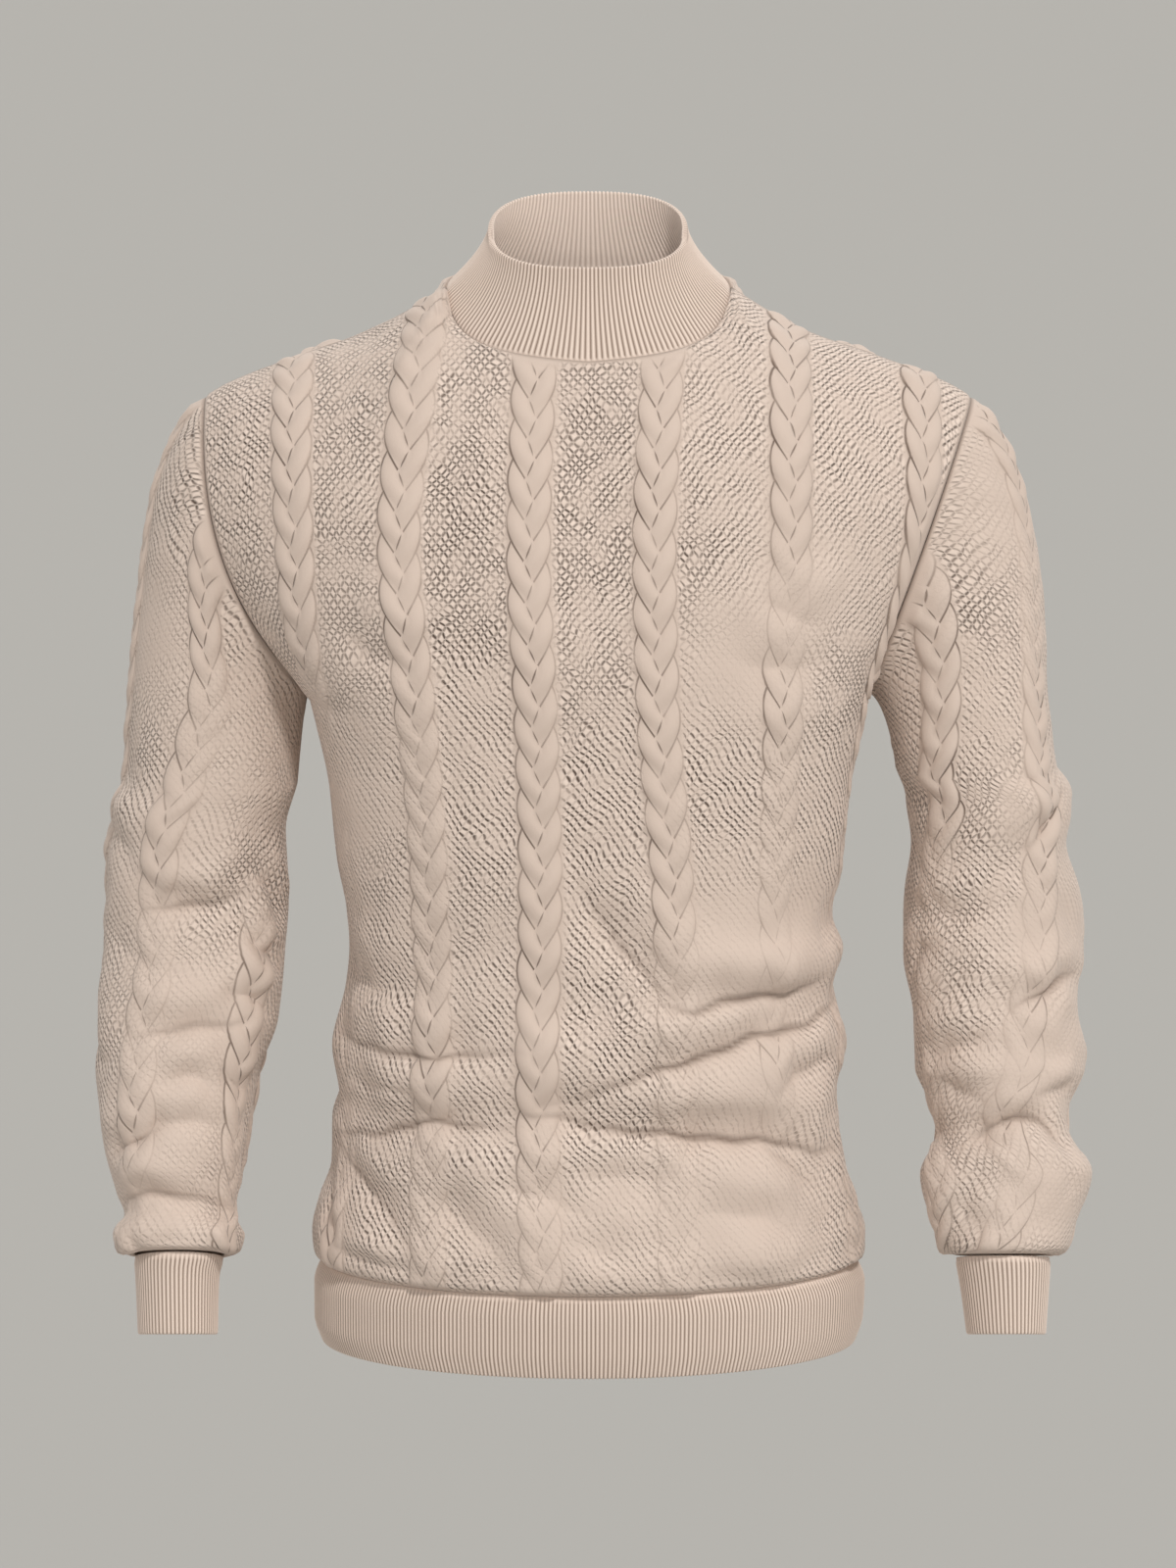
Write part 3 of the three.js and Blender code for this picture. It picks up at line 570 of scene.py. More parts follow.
def strand_edge_shade(tree):
    """Painted shade: fine dark lines along a plait's strands, each hidden where the next one lies over it,
    and darker on one side of each cable than on the other, as light from one side would leave it.
    """
    across, up = (measure / MM for measure in mapped(tree, "plait"))
    strands = []
    for strand in range(3):
        turn = up.math("MULTIPLY_ADD", -2 * np.pi / CABLE_REPEAT, 2 * np.pi * strand / 3)
        lean = turn.math("COSINE") * (STRAND_SWING * 2 * np.pi / CABLE_REPEAT)
        stretch = lean.math("MULTIPLY_ADD", lean, 1).math("SQRT")
        away = (across - turn.math("SINE") * STRAND_SWING) / stretch
        strands.append(abs(away) - STRAND_HALF)
    lines = 0
    for n, beyond in enumerate(strands):
        free = strands[(n + 1) % 3].math("GREATER_THAN", 0)
        lines = (ranged(abs(beyond), STRAND_SHADE_HALF, 0.1, 0, 1) * free).math("MAXIMUM", lines)
    # Painted shade is stronger on one side of each cable than on the other.
    side_shading = ranged(across, -4, 12, 1, 0.45) * named(tree, "plaited")
    uneven = ranged(speckle(tree, 0.03), 0.35, 0.6, 0.45, 1)
    return lines * (side_shading * uneven)


def seed_dashes(tree):
    """The ground's slanting dashes of painted shade in the grooves between the seeds, in two directions of
    which one or the other is stronger by places, and how strongly the seeds stand out."""
    across, up = mapped(tree, "cloth")
    across = across / SEED_WIDTH + (speckle(tree, 0.016) - 0.5) * 1.5
    up = up / SEED_HEIGHT + (speckle(tree, 0.023) - 0.5) * 1.7
    slants = (across + up, across - up)
    turned = named(tree, "slant")
    strengths = (ranged(turned, 0.35, 0.5, 0.35, 1), ranged(turned, 0.42, 0.64, 0.95, 0.25))
    dashes = []
    for line, other, strength in zip(slants, slants[::-1], strengths):
        groove = abs((line * np.pi).math("COSINE")).math("POWER", GROOVE_POWER)
        broken = ranged(abs((other * np.pi).math("SINE")), 0.05, 0.75, 0.15, 1)
        dashes.append(groove * broken * strength)
    # Random unevenness, at two sizes, in how strongly the seeds show with their painted shade and painted
    # highlight.
    fine_unevenness = ranged(speckle(tree, 0.012, 1), 0.34, 0.56, 0.42, 1)
    broad_unevenness = ranged(speckle(tree, 0.1, 1), 0.36, 0.54, 0.72, 1)
    shown = fine_unevenness * broad_unevenness * named(tree, "ground")
    return dashes[0].math("MAXIMUM", dashes[1]) * shown, shown


def jacquard_material():
    """Oatmeal jacquard: smooth plaits on a ground of small diamond seeds, each between dashes of painted
    shade, with a painted highlight on the seeds and painted shade lines along the strands, creases and
    seams.
    """
    material, shader = matt_knit("oatmeal_jacquard", 0.88, 0.25)
    tree = material.node_tree
    seeded, shown = seed_dashes(tree)
    # Painted shade lines along the strands, creases and seams.
    crease = strand_edge_shade(tree).math("MAXIMUM", named(tree, "crease"))
    warm = blended(speckle(tree, 0.05), (0.63, 0.512, 0.438, 1), (0.665, 0.543, 0.466, 1))
    # Painted highlight: the ground is lighter where its seeds show, as if the raised seeds catch the light.
    seed_highlight = blended(shown * 0.8, warm, (0.88, 0.734, 0.639, 1))
    # Painted shade: the dashes between the seeds darken the colour.
    seeds = blended(seeded, seed_highlight, (0.105, 0.066, 0.046, 1))
    line_shaded = blended(crease * 0.85, seeds, (0.13, 0.083, 0.058, 1))
    pressed = seeded.math("MAXIMUM", crease * 0.5)
    surfaced(shader, line_shaded, speckle(tree, YARN) * 0.12 - pressed, 0.9, 0.0016)
    return material


jacquard = jacquard_material()
ROW_STEP = 2.2  # between two rows of points down a panel
YOKE_SAMPLES = 1201  # rows worked out, of which the even ones are kept
TORSO_SAMPLES = 900
INNER_THINNING = 4
CABLE_COLUMN = 1.35
GROUND_COLUMN = 4.5
CABLE_HALF = 16  # of the cloth over each cable whose columns lie close
FIXED_WIDTH = 160  # of cloth to each side of the middle whose columns keep their place


def even_rows(surface, step):
    """The rows of a dense surface that lie evenly down it, in whole groups for the thinned inside."""
    middle = surface[:, [surface.shape[1] // 3, 2 * surface.shape[1] // 3]].mean(1)
    length = running(np.linalg.norm(np.diff(middle, axis=0), axis=1))
    count = INNER_THINNING * round(length[-1] / step / INNER_THINNING)
    wanted = np.interp(np.linspace(0, length[-1], count + 1), length, np.arange(len(surface)))
    return np.round(wanted).astype(int)


def cloth_columns(offset, widest):
    """Widths of cloth at which the columns of points lie: close over each cable, wide over the ground."""
    places = [0.0]
    while places[-1] < widest:
        beside = (places[-1] - offset + CABLE_SPACING / 2) % CABLE_SPACING - CABLE_SPACING / 2
        close = abs(beside) < CABLE_HALF or places[-1] > FIXED_WIDTH
        places.append(places[-1] + (CABLE_COLUMN if close else GROUND_COLUMN))
    return np.array(places)


CORNER_ROWS = 8  # over which a column turns to meet the corner of the neck
PANEL_UNEVEN = (1.7, 0.7)  # how uneven the cloth is low down and high up
PANEL_SEAM_FADE = (26, 22)  # within which folds fade out, at the sides and at the ends
SIDE_TUCK = (2.2, 1.3)  # how far from a seam the cloth is drawn in, and how much
HEM_TUCK = (3.5, 1.6)
NECK_RIDGE = (2.2, 1.1)
NECK_RIDGE_PLACE = 3.6
# Width and strength of the painted shade along the armhole and neck seams.
ARMHOLE_SEAM_SHADE = (1.2, 0.6)
NECK_SEAM_SHADE = (1.6, 0.5)


def panel(name, facing, swell, cable_lines, creases, flat_spots, plain_spots, seed):
    """A body panel: its smooth form, then its creases, then the plaits, then the turned edges."""
    sweep = 1 - np.linspace(0, 1, YOKE_SAMPLES) ** 2
    rises = np.concatenate([[1], sweep[1:-1], [0]])
    levels = np.linspace(UNDERARM[1], HEM_SEAM, TORSO_SAMPLES)[1:]
    dense, width = panel_surface(facing, swell, rises, levels)
    picked = even_rows(dense, ROW_STEP)
    dense, width = dense[picked], width[picked]

    middle = dense[:, dense.shape[1] // 2]
    down = running(np.linalg.norm(np.diff(middle, axis=0), axis=1))
    lines = cable_rows(cable_lines, down[-1] - down)
    central = lines.shape[1] // 2
    offset = lines[:, central].mean()
    regular = offset + CABLE_SPACING * (np.arange(lines.shape[1]) - central)

    widest = max(np.abs(width[:, 0]).max(), width[:, -1].max())
    right = cloth_columns(-offset, widest)
    left = cloth_columns(offset, widest)
    across = np.empty((len(dense), len(right) + len(left) - 1))
    for n, measure in enumerate(width):
        sides = []
        for places, side, end in ((right, -1, measure[0]), (left, 1, measure[-1])):
            drift = np.interp(side * places, regular, lines[n] - regular)
            followed = side * places + drift * smooth_step(places, 0, 20)
            edge = np.interp(FIXED_WIDTH, places, followed)
            spread = edge + (places - FIXED_WIDTH) * (end - edge) / (places[-1] - FIXED_WIDTH)
            sides.append(np.where(places <= FIXED_WIDTH, followed, spread))
        across[n] = np.concatenate([sides[0][:0:-1], sides[1]])
    for corner in width[0, [len(width[0]) // 4, 3 * len(width[0]) // 4]]:
        nearest = np.argmin(np.abs(across[0] - corner))
        across[:CORNER_ROWS, nearest] += (corner - across[0, nearest]) * np.linspace(1, 0, CORNER_ROWS)
    grid = np.array([
        [np.interp(places, measure, points[:, axis]) for axis in range(3)]
        for places, measure, points in zip(across, width, dense)
    ]).transpose(0, 2, 1)
    steps = np.hypot(np.diff(grid[..., 1], axis=0), np.diff(grid[..., 2], axis=0))
    up = running(steps[::-1].T).T[::-1]

    to_side = np.minimum(across - across[:, :1], across[:, -1:] - across)
    to_top = up[:1] - up
    to_end = np.minimum(up, to_top)
    folds = undulation(across, up, seed) * mix(*PANEL_UNEVEN, smooth_step(up, 150, 330))
    folds, crease = creased(folds, creases, grid[..., 0], grid[..., 2], across, up)
    side_fade, end_fade = PANEL_SEAM_FADE
    folds = folds * (smooth_step(to_side, 0, side_fade) * smooth_step(to_end, 0, end_fade))
    # Painted shade along the armhole seam.
    armhole = bell(to_side, *ARMHOLE_SEAM_SHADE) * (grid[..., 2] > UNDERARM[1])
    outer, inner, outward, turn = folded(grid, False, (0, facing, 0), folds)

    shown = smooth_step(to_side, *PANEL_SIDE_FADE) * smooth_step(to_top, *TOP_FADE)
    shown = shown * smooth_step(up, *FOOT_FADE)
    to_seam = np.minimum(to_side, to_end)
    relief, plaited, marks = cables(grid, across, up, lines, shown, to_seam, flat_spots, plain_spots)
    tucked = bell(to_side, *SIDE_TUCK) + bell(up, *HEM_TUCK)
    ridge = bell(to_top - NECK_RIDGE_PLACE, *NECK_RIDGE) * (np.abs(grid[:1, :, 0]) < NECK_SEAM["x"])
    outer = outer + outward * (relief - tucked + ridge)[..., None]
    seated = SEAM_GAP / 2
    for layer in (outer, inner):
        layer[:, [0, -1], 1] += facing * seated * (layer[:, [0, -1], 2] < UNDERARM[1])
        layer[-1, :, 2] = HEM_SEAM + seated
    # Low down the dashes that fall towards the wearer's left are the stronger, high up there the others.
    slant = 0.66 - 0.2 * smooth_step(up, 330, 430)
    slant = slant - 0.2 * smooth_step(across, 50, 90) * smooth_step(up, 400, 450)
    marks["slant"] = slant + 0.05 * undulation(across, up, seed + 1)
    # Painted shade: dark lines along the creases and along the armhole and neck seams.
    marks["crease"] = np.maximum(crease, np.maximum(armhole, bell(to_top, *NECK_SEAM_SHADE)))
    return cloth_piece(name, outer, inner, across, up, plaited, marks, False, turn)


# Places of the cables across the front, from the wearer's right to left, at heights above the hem seam.
FRONT_CABLES = table(
    "up a b c d e f",
    (25, -184, -102, -29, 56, 127, 207),
    (150, -181, -98, -31, 55, 122, 205),
    (260, -181, -99, -29, 51, 120, 208),
    (370, -183, -106, -32, 42, 120, 212),
    (460, -183, -115, -36, 40, 124, 216),
    (590, -183, -97, -32, 46, 123, 206),
)
# Places across and up along each crease, its depth and width, and how far the cloth swells above and
# below it.
FRONT_CREASES = [
    ([(44, -430), (64, -433), (92, -430), (120, -429), (146, -425)], 6.4, 7, 5, 1.5),
    ([(-20, -490), (14, -479), (48, -469), (89, -458), (116, -451), (152, -442)], 6.6, 7, 4.4, 2),
    ([(-154, -459), (-116, -463), (-84, -464), (-44, -457)], 5.2, 7, 3.6, 1.8),
    ([(-40, -497), (0, -502), (30, -508), (60, -511), (100, -516), (152, -534)], 6.8, 7.5, 4.6, 2.4),
    ([(-156, -524), (-122, -512), (-92, -506), (-50, -506)], 5.6, 7.5, 3.8, 2),
    ([(-156, -530), (-134, -556), (-104, -586)], 4.6, 7, 3.2, 1.8),
    ([(112, -486), (134, -480), (154, -470)], 4.2, 6, 2.6, 1.4),
    ([(110, -521), (128, -536), (146, -556)], 4, 7, 2.4, 2),
    ([(-4, -354), (14, -386), (34, -412), (56, -430)], 4.8, 8, 3.4, 1),
    ([(62, -440), (58, -456), (62, -474), (60, -496), (64, -520), (66, -548)], 2.4, 4.5, 0.8, 0.8),
    ([(104, -181), (120, -190), (140, -200)], 3.4, 7, 2.2, 1.2),
    ([(84, -216), (112, -224), (148, -222)], 2.9, 9, 2.4, 1.2),
    ([(-156, -196), (-130, -216), (-104, -226)], 3.4, 8, 2.4, 1),
    ([(-150, -420), (-124, -428), (-96, -424)], 3.2, 8, 2.4, 1),
    ([(-150, -484), (-118, -488), (-88, -482)], 3.4, 7, 2.2, 1.2),
    ([(-66, -540), (-28, -546), (6, -560)], 3.6, 9, 2.8, 1.4),
    ([(-20, -532), (22, -536), (60, -540)], 2.6, 8, 2, 1.2),
    ([(64, -558), (98, -562), (130, -580)], 3.4, 8, 2.6, 1.4),
    ([(-96, -548), (-70, -570), (-50, -592)], 3.4, 8, 2.4, 1.2),
    ([(-20, -572), (8, -580), (34, -594)], 2.6, 8, 2, 1.2),
    ([(-160, -560), (-161, -574), (-157, -590)], 3.2, 4, 1.4, 1.8),
    ([(-160, -590), (-136, -597), (-104, -601)], 2.8, 3.2, 1.2, 1.2),
]
# Places across and up where the ground is drawn smooth, how far round, and by how much.
FRONT_FLAT = [
    (100, -218, 46, 0.88), (132, -176, 34, 0.75), (100, -398, 60, 0.93), (102, -484, 46, 0.85),
    (98, -564, 52, 0.86), (14, -560, 42, 0.66), (-62, -566, 26, 0.6), (-150, -320, 36, 0.65),
    (118, -130, 30, 0.5), (-30, -575, 26, 0.5),
]
# The same for the plaits.
FRONT_PLAIN = [
    (-176, -300, 66, 0.95), (-172, -400, 66, 0.9), (-172, -500, 60, 0.8), (122, -320, 56, 0.5),
    (126, -410, 54, 0.75), (126, -520, 56, 0.8), (124, -590, 50, 0.85), (56, -420, 40, 0.5),
    (58, -480, 38, 0.6), (62, -560, 50, 0.75), (-104, -560, 44, 0.5), (122, -196, 40, 0.66),
    (-28, -560, 46, 0.5),
]
front = panel("sweatshirt_front", -1, 2.5, FRONT_CABLES, FRONT_CREASES, FRONT_FLAT, FRONT_PLAIN, 11)
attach(front, "root")
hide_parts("front")

# ---- Back panel -----------------------------------------------------------------------------------
# The back of the body, cut from the same cloth. It is fullest over the shoulder blades and gathers
# in the hollow of the waist before it blouses over the hem band.
BACK_CREASES = [
    ([(-134, -434), (-98, -444), (-60, -447), (-22, -450)], 4.2, 6.5, 3.4, 2),
    ([(18, -422), (58, -428), (96, -436), (130, -440)], 3.8, 6.5, 3, 1.8),
    ([(-74, -480), (-30, -474), (14, -470), (64, -468)], 4.6, 7, 3.8, 2.2),
    ([(-146, -514), (-108, -520), (-72, -528), (-36, -533)], 3.8, 7, 3, 2),
    ([(22, -530), (64, -522), (100, -514), (138, -510)], 3.6, 6.5, 2.6, 1.8),
    ([(-58, -400), (-18, -405), (30, -398)], 2.4, 8, 1.6, 1.2),
    ([(76, -466), (108, -474), (140, -470)], 2.8, 6, 2, 1.4),
    ([(-140, -474), (-114, -470), (-92, -476)], 2.6, 6, 1.8, 1.4),
    ([(-30, -556), (10, -562), (56, -558)], 2.6, 9, 1.8, 1.6),
    ([(-146, -556), (-112, -566), (-82, -564)], 2.4, 8, 1.8, 1.4),
    ([(84, -554), (116, -566), (146, -572)], 2.6, 7, 2, 1.4),
    ([(-150, -206), (-132, -228), (-118, -254)], 2.4, 8, 1.4, 1),
    ([(150, -200), (130, -220), (112, -242)], 2.6, 8, 1.4, 1),
    ([(-24, -372), (10, -366), (44, -374)], 1.8, 9, 1.2, 1),
]
BACK_CABLES = table(
    "up a b c d e",
    (25, -164, -82, -3, 76, 160),
    (120, -160, -80, 1, 79, 158),
    (220, -156, -77, 3, 82, 155),
    (330, -154, -76, 1, 80, 154),
    (450, -158, -78, -2, 77, 158),
    (590, -166, -82, 0, 82, 166),
)
BACK_FLAT = [(-90, -240, 40, 0.6), (60, -380, 46, 0.7), (-40, -545, 40, 0.6), (120, -520, 34, 0.5)]
BACK_PLAIN = [(-168, -420, 70, 0.8), (168, -420, 70, 0.8), (-80, -560, 46, 0.6), (84, -470, 40, 0.4)]
back = panel("sweatshirt_back", 1, 6, BACK_CABLES, BACK_CREASES, BACK_FLAT, BACK_PLAIN, 23)
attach(back, "root")
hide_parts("back")

# ---- Sleeves --------------------------------------------------------------------------------------
# Two set-in sleeves of the same jacquard, each closed by a seam under the arm. They hang long, so the
# cloth stacks in uneven folds down the forearm and puffs out over each cuff.
SLEEVE_POWER = 2.15
SLEEVE_HEAD = {"right": (150, 12), "left": (168, 32)}  # fullness at the tip and at the underarm
HEAD_FADE = 1.3
HEAD_DROP = 22
HEAD_ARRIVE = (0.1, 0.85)  # how far outwards, and how strongly, the head comes down into the arm
ARMHOLE_LEAN = 0.3
CUFF_SEAM = -601
SLEEVE_RIGHT = table(
    "z x half y deep slope",
    (-310, 234, 53, 3, 57, 0),
    (-340, 243, 54.5, 4, 58, 0.02),
    (-386, 244, 57, 4, 57, 0.05),
    (-420, 245.5, 56, -1, 56, 0.09),
    (-455, 249, 56, -8, 54, 0.13),
    (-495, 257, 50, -17, 51, 0.16),
    (-536, 258, 44.5, -28, 47, 0.19),
    (-563, 256, 38, -34, 43, 0.2),
    (-575, 254, 34.5, -37, 40, 0.21),
    (-588, 253.5, 39.5, -41, 43, 0.24),
    (-597, 253.8, 37.5, -43, 42, 0.28),
    (CUFF_SEAM, 254.2, 28.5, -44, 35, 0.3),
)
SLEEVE_LEFT = table(
    "z x half y deep slope",
    (-300, 241, 49.5, 3, 57, 0),
    (-319, 249.5, 51.5, 3.5, 58, 0.01),
    (-346, 250, 48.5, 4, 57, 0.02),
    (-377, 252, 54, 4, 57, 0.05),
    (-418, 254, 57, -1, 57, 0.09),
    (-455, 254, 51, -8, 54, 0.13),
    (-486, 256.5, 52.5, -15, 52, 0.16),
    (-503, 256, 45, -19, 49, 0.17),
    (-524, 259, 40, -24, 45, 0.18),
    (-551, 259, 52, -31, 50, 0.2),
    (-580, 259, 45, -38, 46, 0.21),
    (-596, 259.5, 39, -43, 42, 0.22),
    (CUFF_SEAM, 258, 30, -44, 36, 0.23),
)
SLEEVE_COLUMNS = 216
SLEEVE_ROW_STEP = 2
HEAD_SAMPLES = 400
ARM_SAMPLES = 700
SLEEVE_UNEVEN = (1.4, 0.7)
SLEEVE_SEAM_FADE = 12
SLEEVE_CREASES_BY = (1.25, 1.1)  # how much deeper and wider than their rows say
HEAD_TUCK = (2.2, 1.2)
CUFF_TUCK = (3, 1.4)
UNDERARM_TUCK = (1.5, 0.8)
# Width and strength of the painted shade along the sleeve head's seam.
HEAD_SEAM_SHADE = (1.4, 0.55)


def unit(vectors):
    return vectors / np.linalg.norm(vectors, axis=-1, keepdims=True)


def armhole_inward(angle, side):
    turn = np.radians(angle)
    lean = ARMHOLE_LEAN * (1 + np.cos(turn))
    return unit(np.stack([-side * lean, np.sin(turn), -np.cos(turn)], -1))


def armhole_across(angle, side):
    run = armhole_point(angle + 1, side) - armhole_point(angle - 1, side)
    return unit(np.cross(run, armhole_inward(angle, side)) * side)


def arm_point(rows, angle, z, side):
    """A point of an arm: angle 0 outside it, 90 in front, 180 against the body, -90 behind."""
    turn = np.radians(angle)
    sideways = along(rows, "half", z) * bowed(np.cos(turn), SLEEVE_POWER)
    forward = along(rows, "deep", z) * bowed(np.sin(turn), SLEEVE_POWER)
    x = side * (along(rows, "x", z) + sideways)
    return np.stack([x, along(rows, "y", z) - forward, z + along(rows, "slope", z) * forward], -1)


def head_point(rows, angle, u, side):
    """A point of the sleeve head, on a curve from the armhole seam down into the arm."""
    across = armhole_across(angle, side)
    start = armhole_point(angle, side) + across * SEAM_GAP / 2
    end = arm_point(rows, angle, np.full_like(angle, rows["z"][-1]), side)
    fullness = ((1 + np.cos(np.radians(angle))) / 2) ** HEAD_FADE
    tip, underarm = SLEEVE_HEAD["left" if side > 0 else "right"]
    leave = across * mix(underarm, tip, fullness)[..., None]
    leave[..., 2] -= HEAD_DROP * fullness
    outward, strength = HEAD_ARRIVE
    arrive = np.array([side * outward, 0, -1]) * (strength * (start - end)[..., 2:])
    return hermite(start, leave, end, arrive, u[..., None])


def sleeve(name, rows, side, cable_lines, creases, flat_spots, plain_spots, seed):
    angles = np.linspace(-180, 180, SLEEVE_COLUMNS + 1)
    head = np.linspace(0, 1, HEAD_SAMPLES)[:-1]
    levels = np.linspace(rows["z"][-1], CUFF_SEAM, ARM_SAMPLES)
    dense = [head_point(rows, *np.broadcast_arrays(angles, u), side) for u in head]
    dense += [arm_point(rows, angles, np.full_like(angles, z), side) for z in levels]
    dense = np.array(dense)
    picked = even_rows(dense, SLEEVE_ROW_STEP)
    grid = dense[picked]
    on_arm = np.maximum(picked, len(head))
    steps = np.linalg.norm(np.diff(dense[on_arm], axis=1), axis=-1)
    across = running(steps)
    across -= across[:, SLEEVE_COLUMNS // 2][:, None]
    steps = np.linalg.norm(np.diff(grid, axis=0), axis=-1)
    up = running(steps[::-1].T).T[::-1]

    to_side = across[:, -1:] - np.abs(across)
    to_top = up[:1] - up
    to_end = np.minimum(up, to_top)
    wrap = smooth_step(to_side, 0, 30)
    folds = undulation(across, up, seed) * wrap * mix(*SLEEVE_UNEVEN, smooth_step(up, 200, 320))
    around = np.broadcast_to(angles, across.shape)
    folds, crease = creased(folds, creases, around, grid[..., 2], across, up, *SLEEVE_CREASES_BY)
    folds = folds * smooth_step(to_end, 0, SLEEVE_SEAM_FADE)
    outside = np.stack([side * np.cos(np.radians(angles)), -np.sin(np.radians(angles)), 0 * angles], -1)
    outer, inner, outward, turn = folded(grid, True, outside, folds)
    inner[0] = outer[0] + armhole_inward(angles, side) * CLOTH_WALL

    lines = cable_rows(cable_lines, up[:, SLEEVE_COLUMNS // 2])
    shown = smooth_step(to_top, *TOP_FADE) * smooth_step(up, *FOOT_FADE)
    shown = shown * smooth_step(to_side, *SLEEVE_SIDE_FADE)
    to_seam = np.minimum(to_side, to_end)
    relief, plaited, marks = cables(grid, across, up, lines, shown, to_seam, flat_spots, plain_spots)
    tucked = bell(to_top, *HEAD_TUCK) + bell(up, *CUFF_TUCK) + bell(to_side, *UNDERARM_TUCK)
    outer = outer + outward * (relief - tucked)[..., None]
    for layer in (outer, inner):
        layer[-1, :, 2] += SEAM_GAP / 2
    marks["slant"] = 0.48 - 0.09 * side + 0.09 * undulation(across, up, seed + 1) * wrap
    # Painted shade: dark lines along the creases and along the armhole seam.
    marks["crease"] = np.maximum(crease, bell(to_top, *HEAD_SEAM_SHADE))
    return cloth_piece(name, outer, inner, across, up, plaited, marks, True, turn)


# Places round the arm, in degrees, and up along each crease, then its depth, width and swells.
SLEEVE_RIGHT_CREASES = [
    ([(-20, -332), (20, -340), (48, -352)], 2, 5, 3, 0.8),
    ([(30, -352), (66, -366), (100, -372)], 1.6, 8, 1.6, 1),
    ([(58, -384), (76, -380), (102, -377), (128, -373)], 3.8, 5, 3.4, 1.6),
    ([(128, -352), (146, -372), (158, -392)], 2.6, 5, 2.4, 1.2),
    ([(120, -398), (140, -410), (160, -424)], 2.4, 4.5, 2, 1.2),
    ([(16, -398), (48, -412), (76, -416)], 2.2, 8, 1.6, 1.4),
    ([(60, -460), (80, -456), (106, -452), (134, -450)], 3.6, 5.5, 2.6, 1.8),
    ([(110, -430), (134, -438), (156, -452)], 2.6, 4.5, 2.2, 1.2),
    ([(84, -488), (102, -484), (120, -491)], 2.6, 4.5, 2, 1.4),
    ([(26, -535), (50, -530), (70, -520), (88, -511)], 3.4, 4.5, 2.2, 2),
    ([(62, -516), (96, -510), (132, -514)], 2.8, 4.5, 2.2, 1.6),
    ([(122, -480), (142, -492), (158, -500)], 2.4, 4.5, 1.8, 1.2),
    ([(22, -566), (62, -558), (98, -556), (150, -565)], 3.8, 4.5, 2.2, 3),
    ([(-8, -468), (24, -476), (52, -474)], 2, 7, 1.6, 1.2),
    ([(40, -580), (70, -590), (92, -582)], 1.6, 4, 1, 1),
    ([(-150, -398), (-110, -404), (-64, -408)], 3.6, 6, 2.6, 1.6),
    ([(-160, -440), (-120, -432), (-84, -436)], 2.6, 6, 2, 1.4),
    ([(-168, -466), (-126, -470), (-72, -462)], 3.6, 6, 2.6, 1.6),
    ([(-130, -506), (-90, -514), (-44, -508)], 3, 5.5, 2.2, 1.6),
    ([(-150, -548), (-100, -540), (-52, -546)], 3, 5.5, 2.2, 1.8),
    ([(-60, -366), (-30, -372), (-4, -380)], 2.2, 7, 1.6, 1.2),
    ([(-128, -352), (-100, -360), (-76, -356)], 2, 7, 1.4, 1.2),
    ([(-150, -572), (-90, -566), (-20, -572)], 3, 4.5, 1.8, 2.4),
]
SLEEVE_LEFT_CREASES = [
    ([(20, -310), (40, -322), (58, -336), (76, -347)], 3.6, 4.5, 2.6, 1.4),
    ([(70, -350), (98, -366), (126, -382)], 1.8, 7, 1.4, 1.2),
    ([(26, -398), (34, -404), (62, -406)], 1.4, 6, 1.8, 0.8),
    ([(20, -424), (42, -428), (64, -434), (84, -440)], 4, 4.5, 4, 1.2),
    ([(94, -380), (112, -388), (134, -384)], 2, 4.5, 1.6, 1.2),
    ([(130, -404), (148, -412), (164, -430)], 2.2, 5, 1.8, 1.2),
    ([(98, -457), (122, -464), (152, -474)], 3.2, 5, 2.4, 1.6),
    ([(22, -494), (44, -498), (66, -495)], 2.6, 4.5, 2.4, 1.2),
    ([(28, -470), (52, -474), (74, -470)], 1.8, 6, 1.4, 1),
    ([(148, -486), (124, -496), (100, -503)], 2.8, 4.5, 2, 1.4),
    ([(126, -520), (104, -514), (80, -508), (58, -514), (36, -526)], 4.2, 4.5, 2, 3.4),
    ([(52, -534), (40, -546), (34, -558)], 1.8, 5, 1.2, 1.2),
    ([(108, -540), (120, -560), (116, -580)], 1.4, 4, 0.8, 0.8),
    ([(-150, -394), (-112, -400), (-60, -405)], 3.6, 6, 2.6, 1.6),
    ([(-164, -430), (-124, -424), (-92, -428)], 2.4, 6, 1.8, 1.4),
    ([(-170, -466), (-120, -460), (-60, -456)], 3.6, 6, 2.6, 1.6),
    ([(-150, -498), (-104, -508), (-48, -504)], 3.4, 5, 2.4, 2),
    ([(-140, -534), (-96, -528), (-50, -536)], 2.8, 5.5, 2, 1.8),
    ([(-60, -340), (-34, -352), (-6, -348)], 2.2, 7, 1.6, 1.2),
    ([(-140, -344), (-108, -352), (-82, -348)], 2, 7, 1.4, 1.2),
    ([(-140, -574), (-80, -566), (-20, -572)], 2.6, 5, 1.6, 2),
]
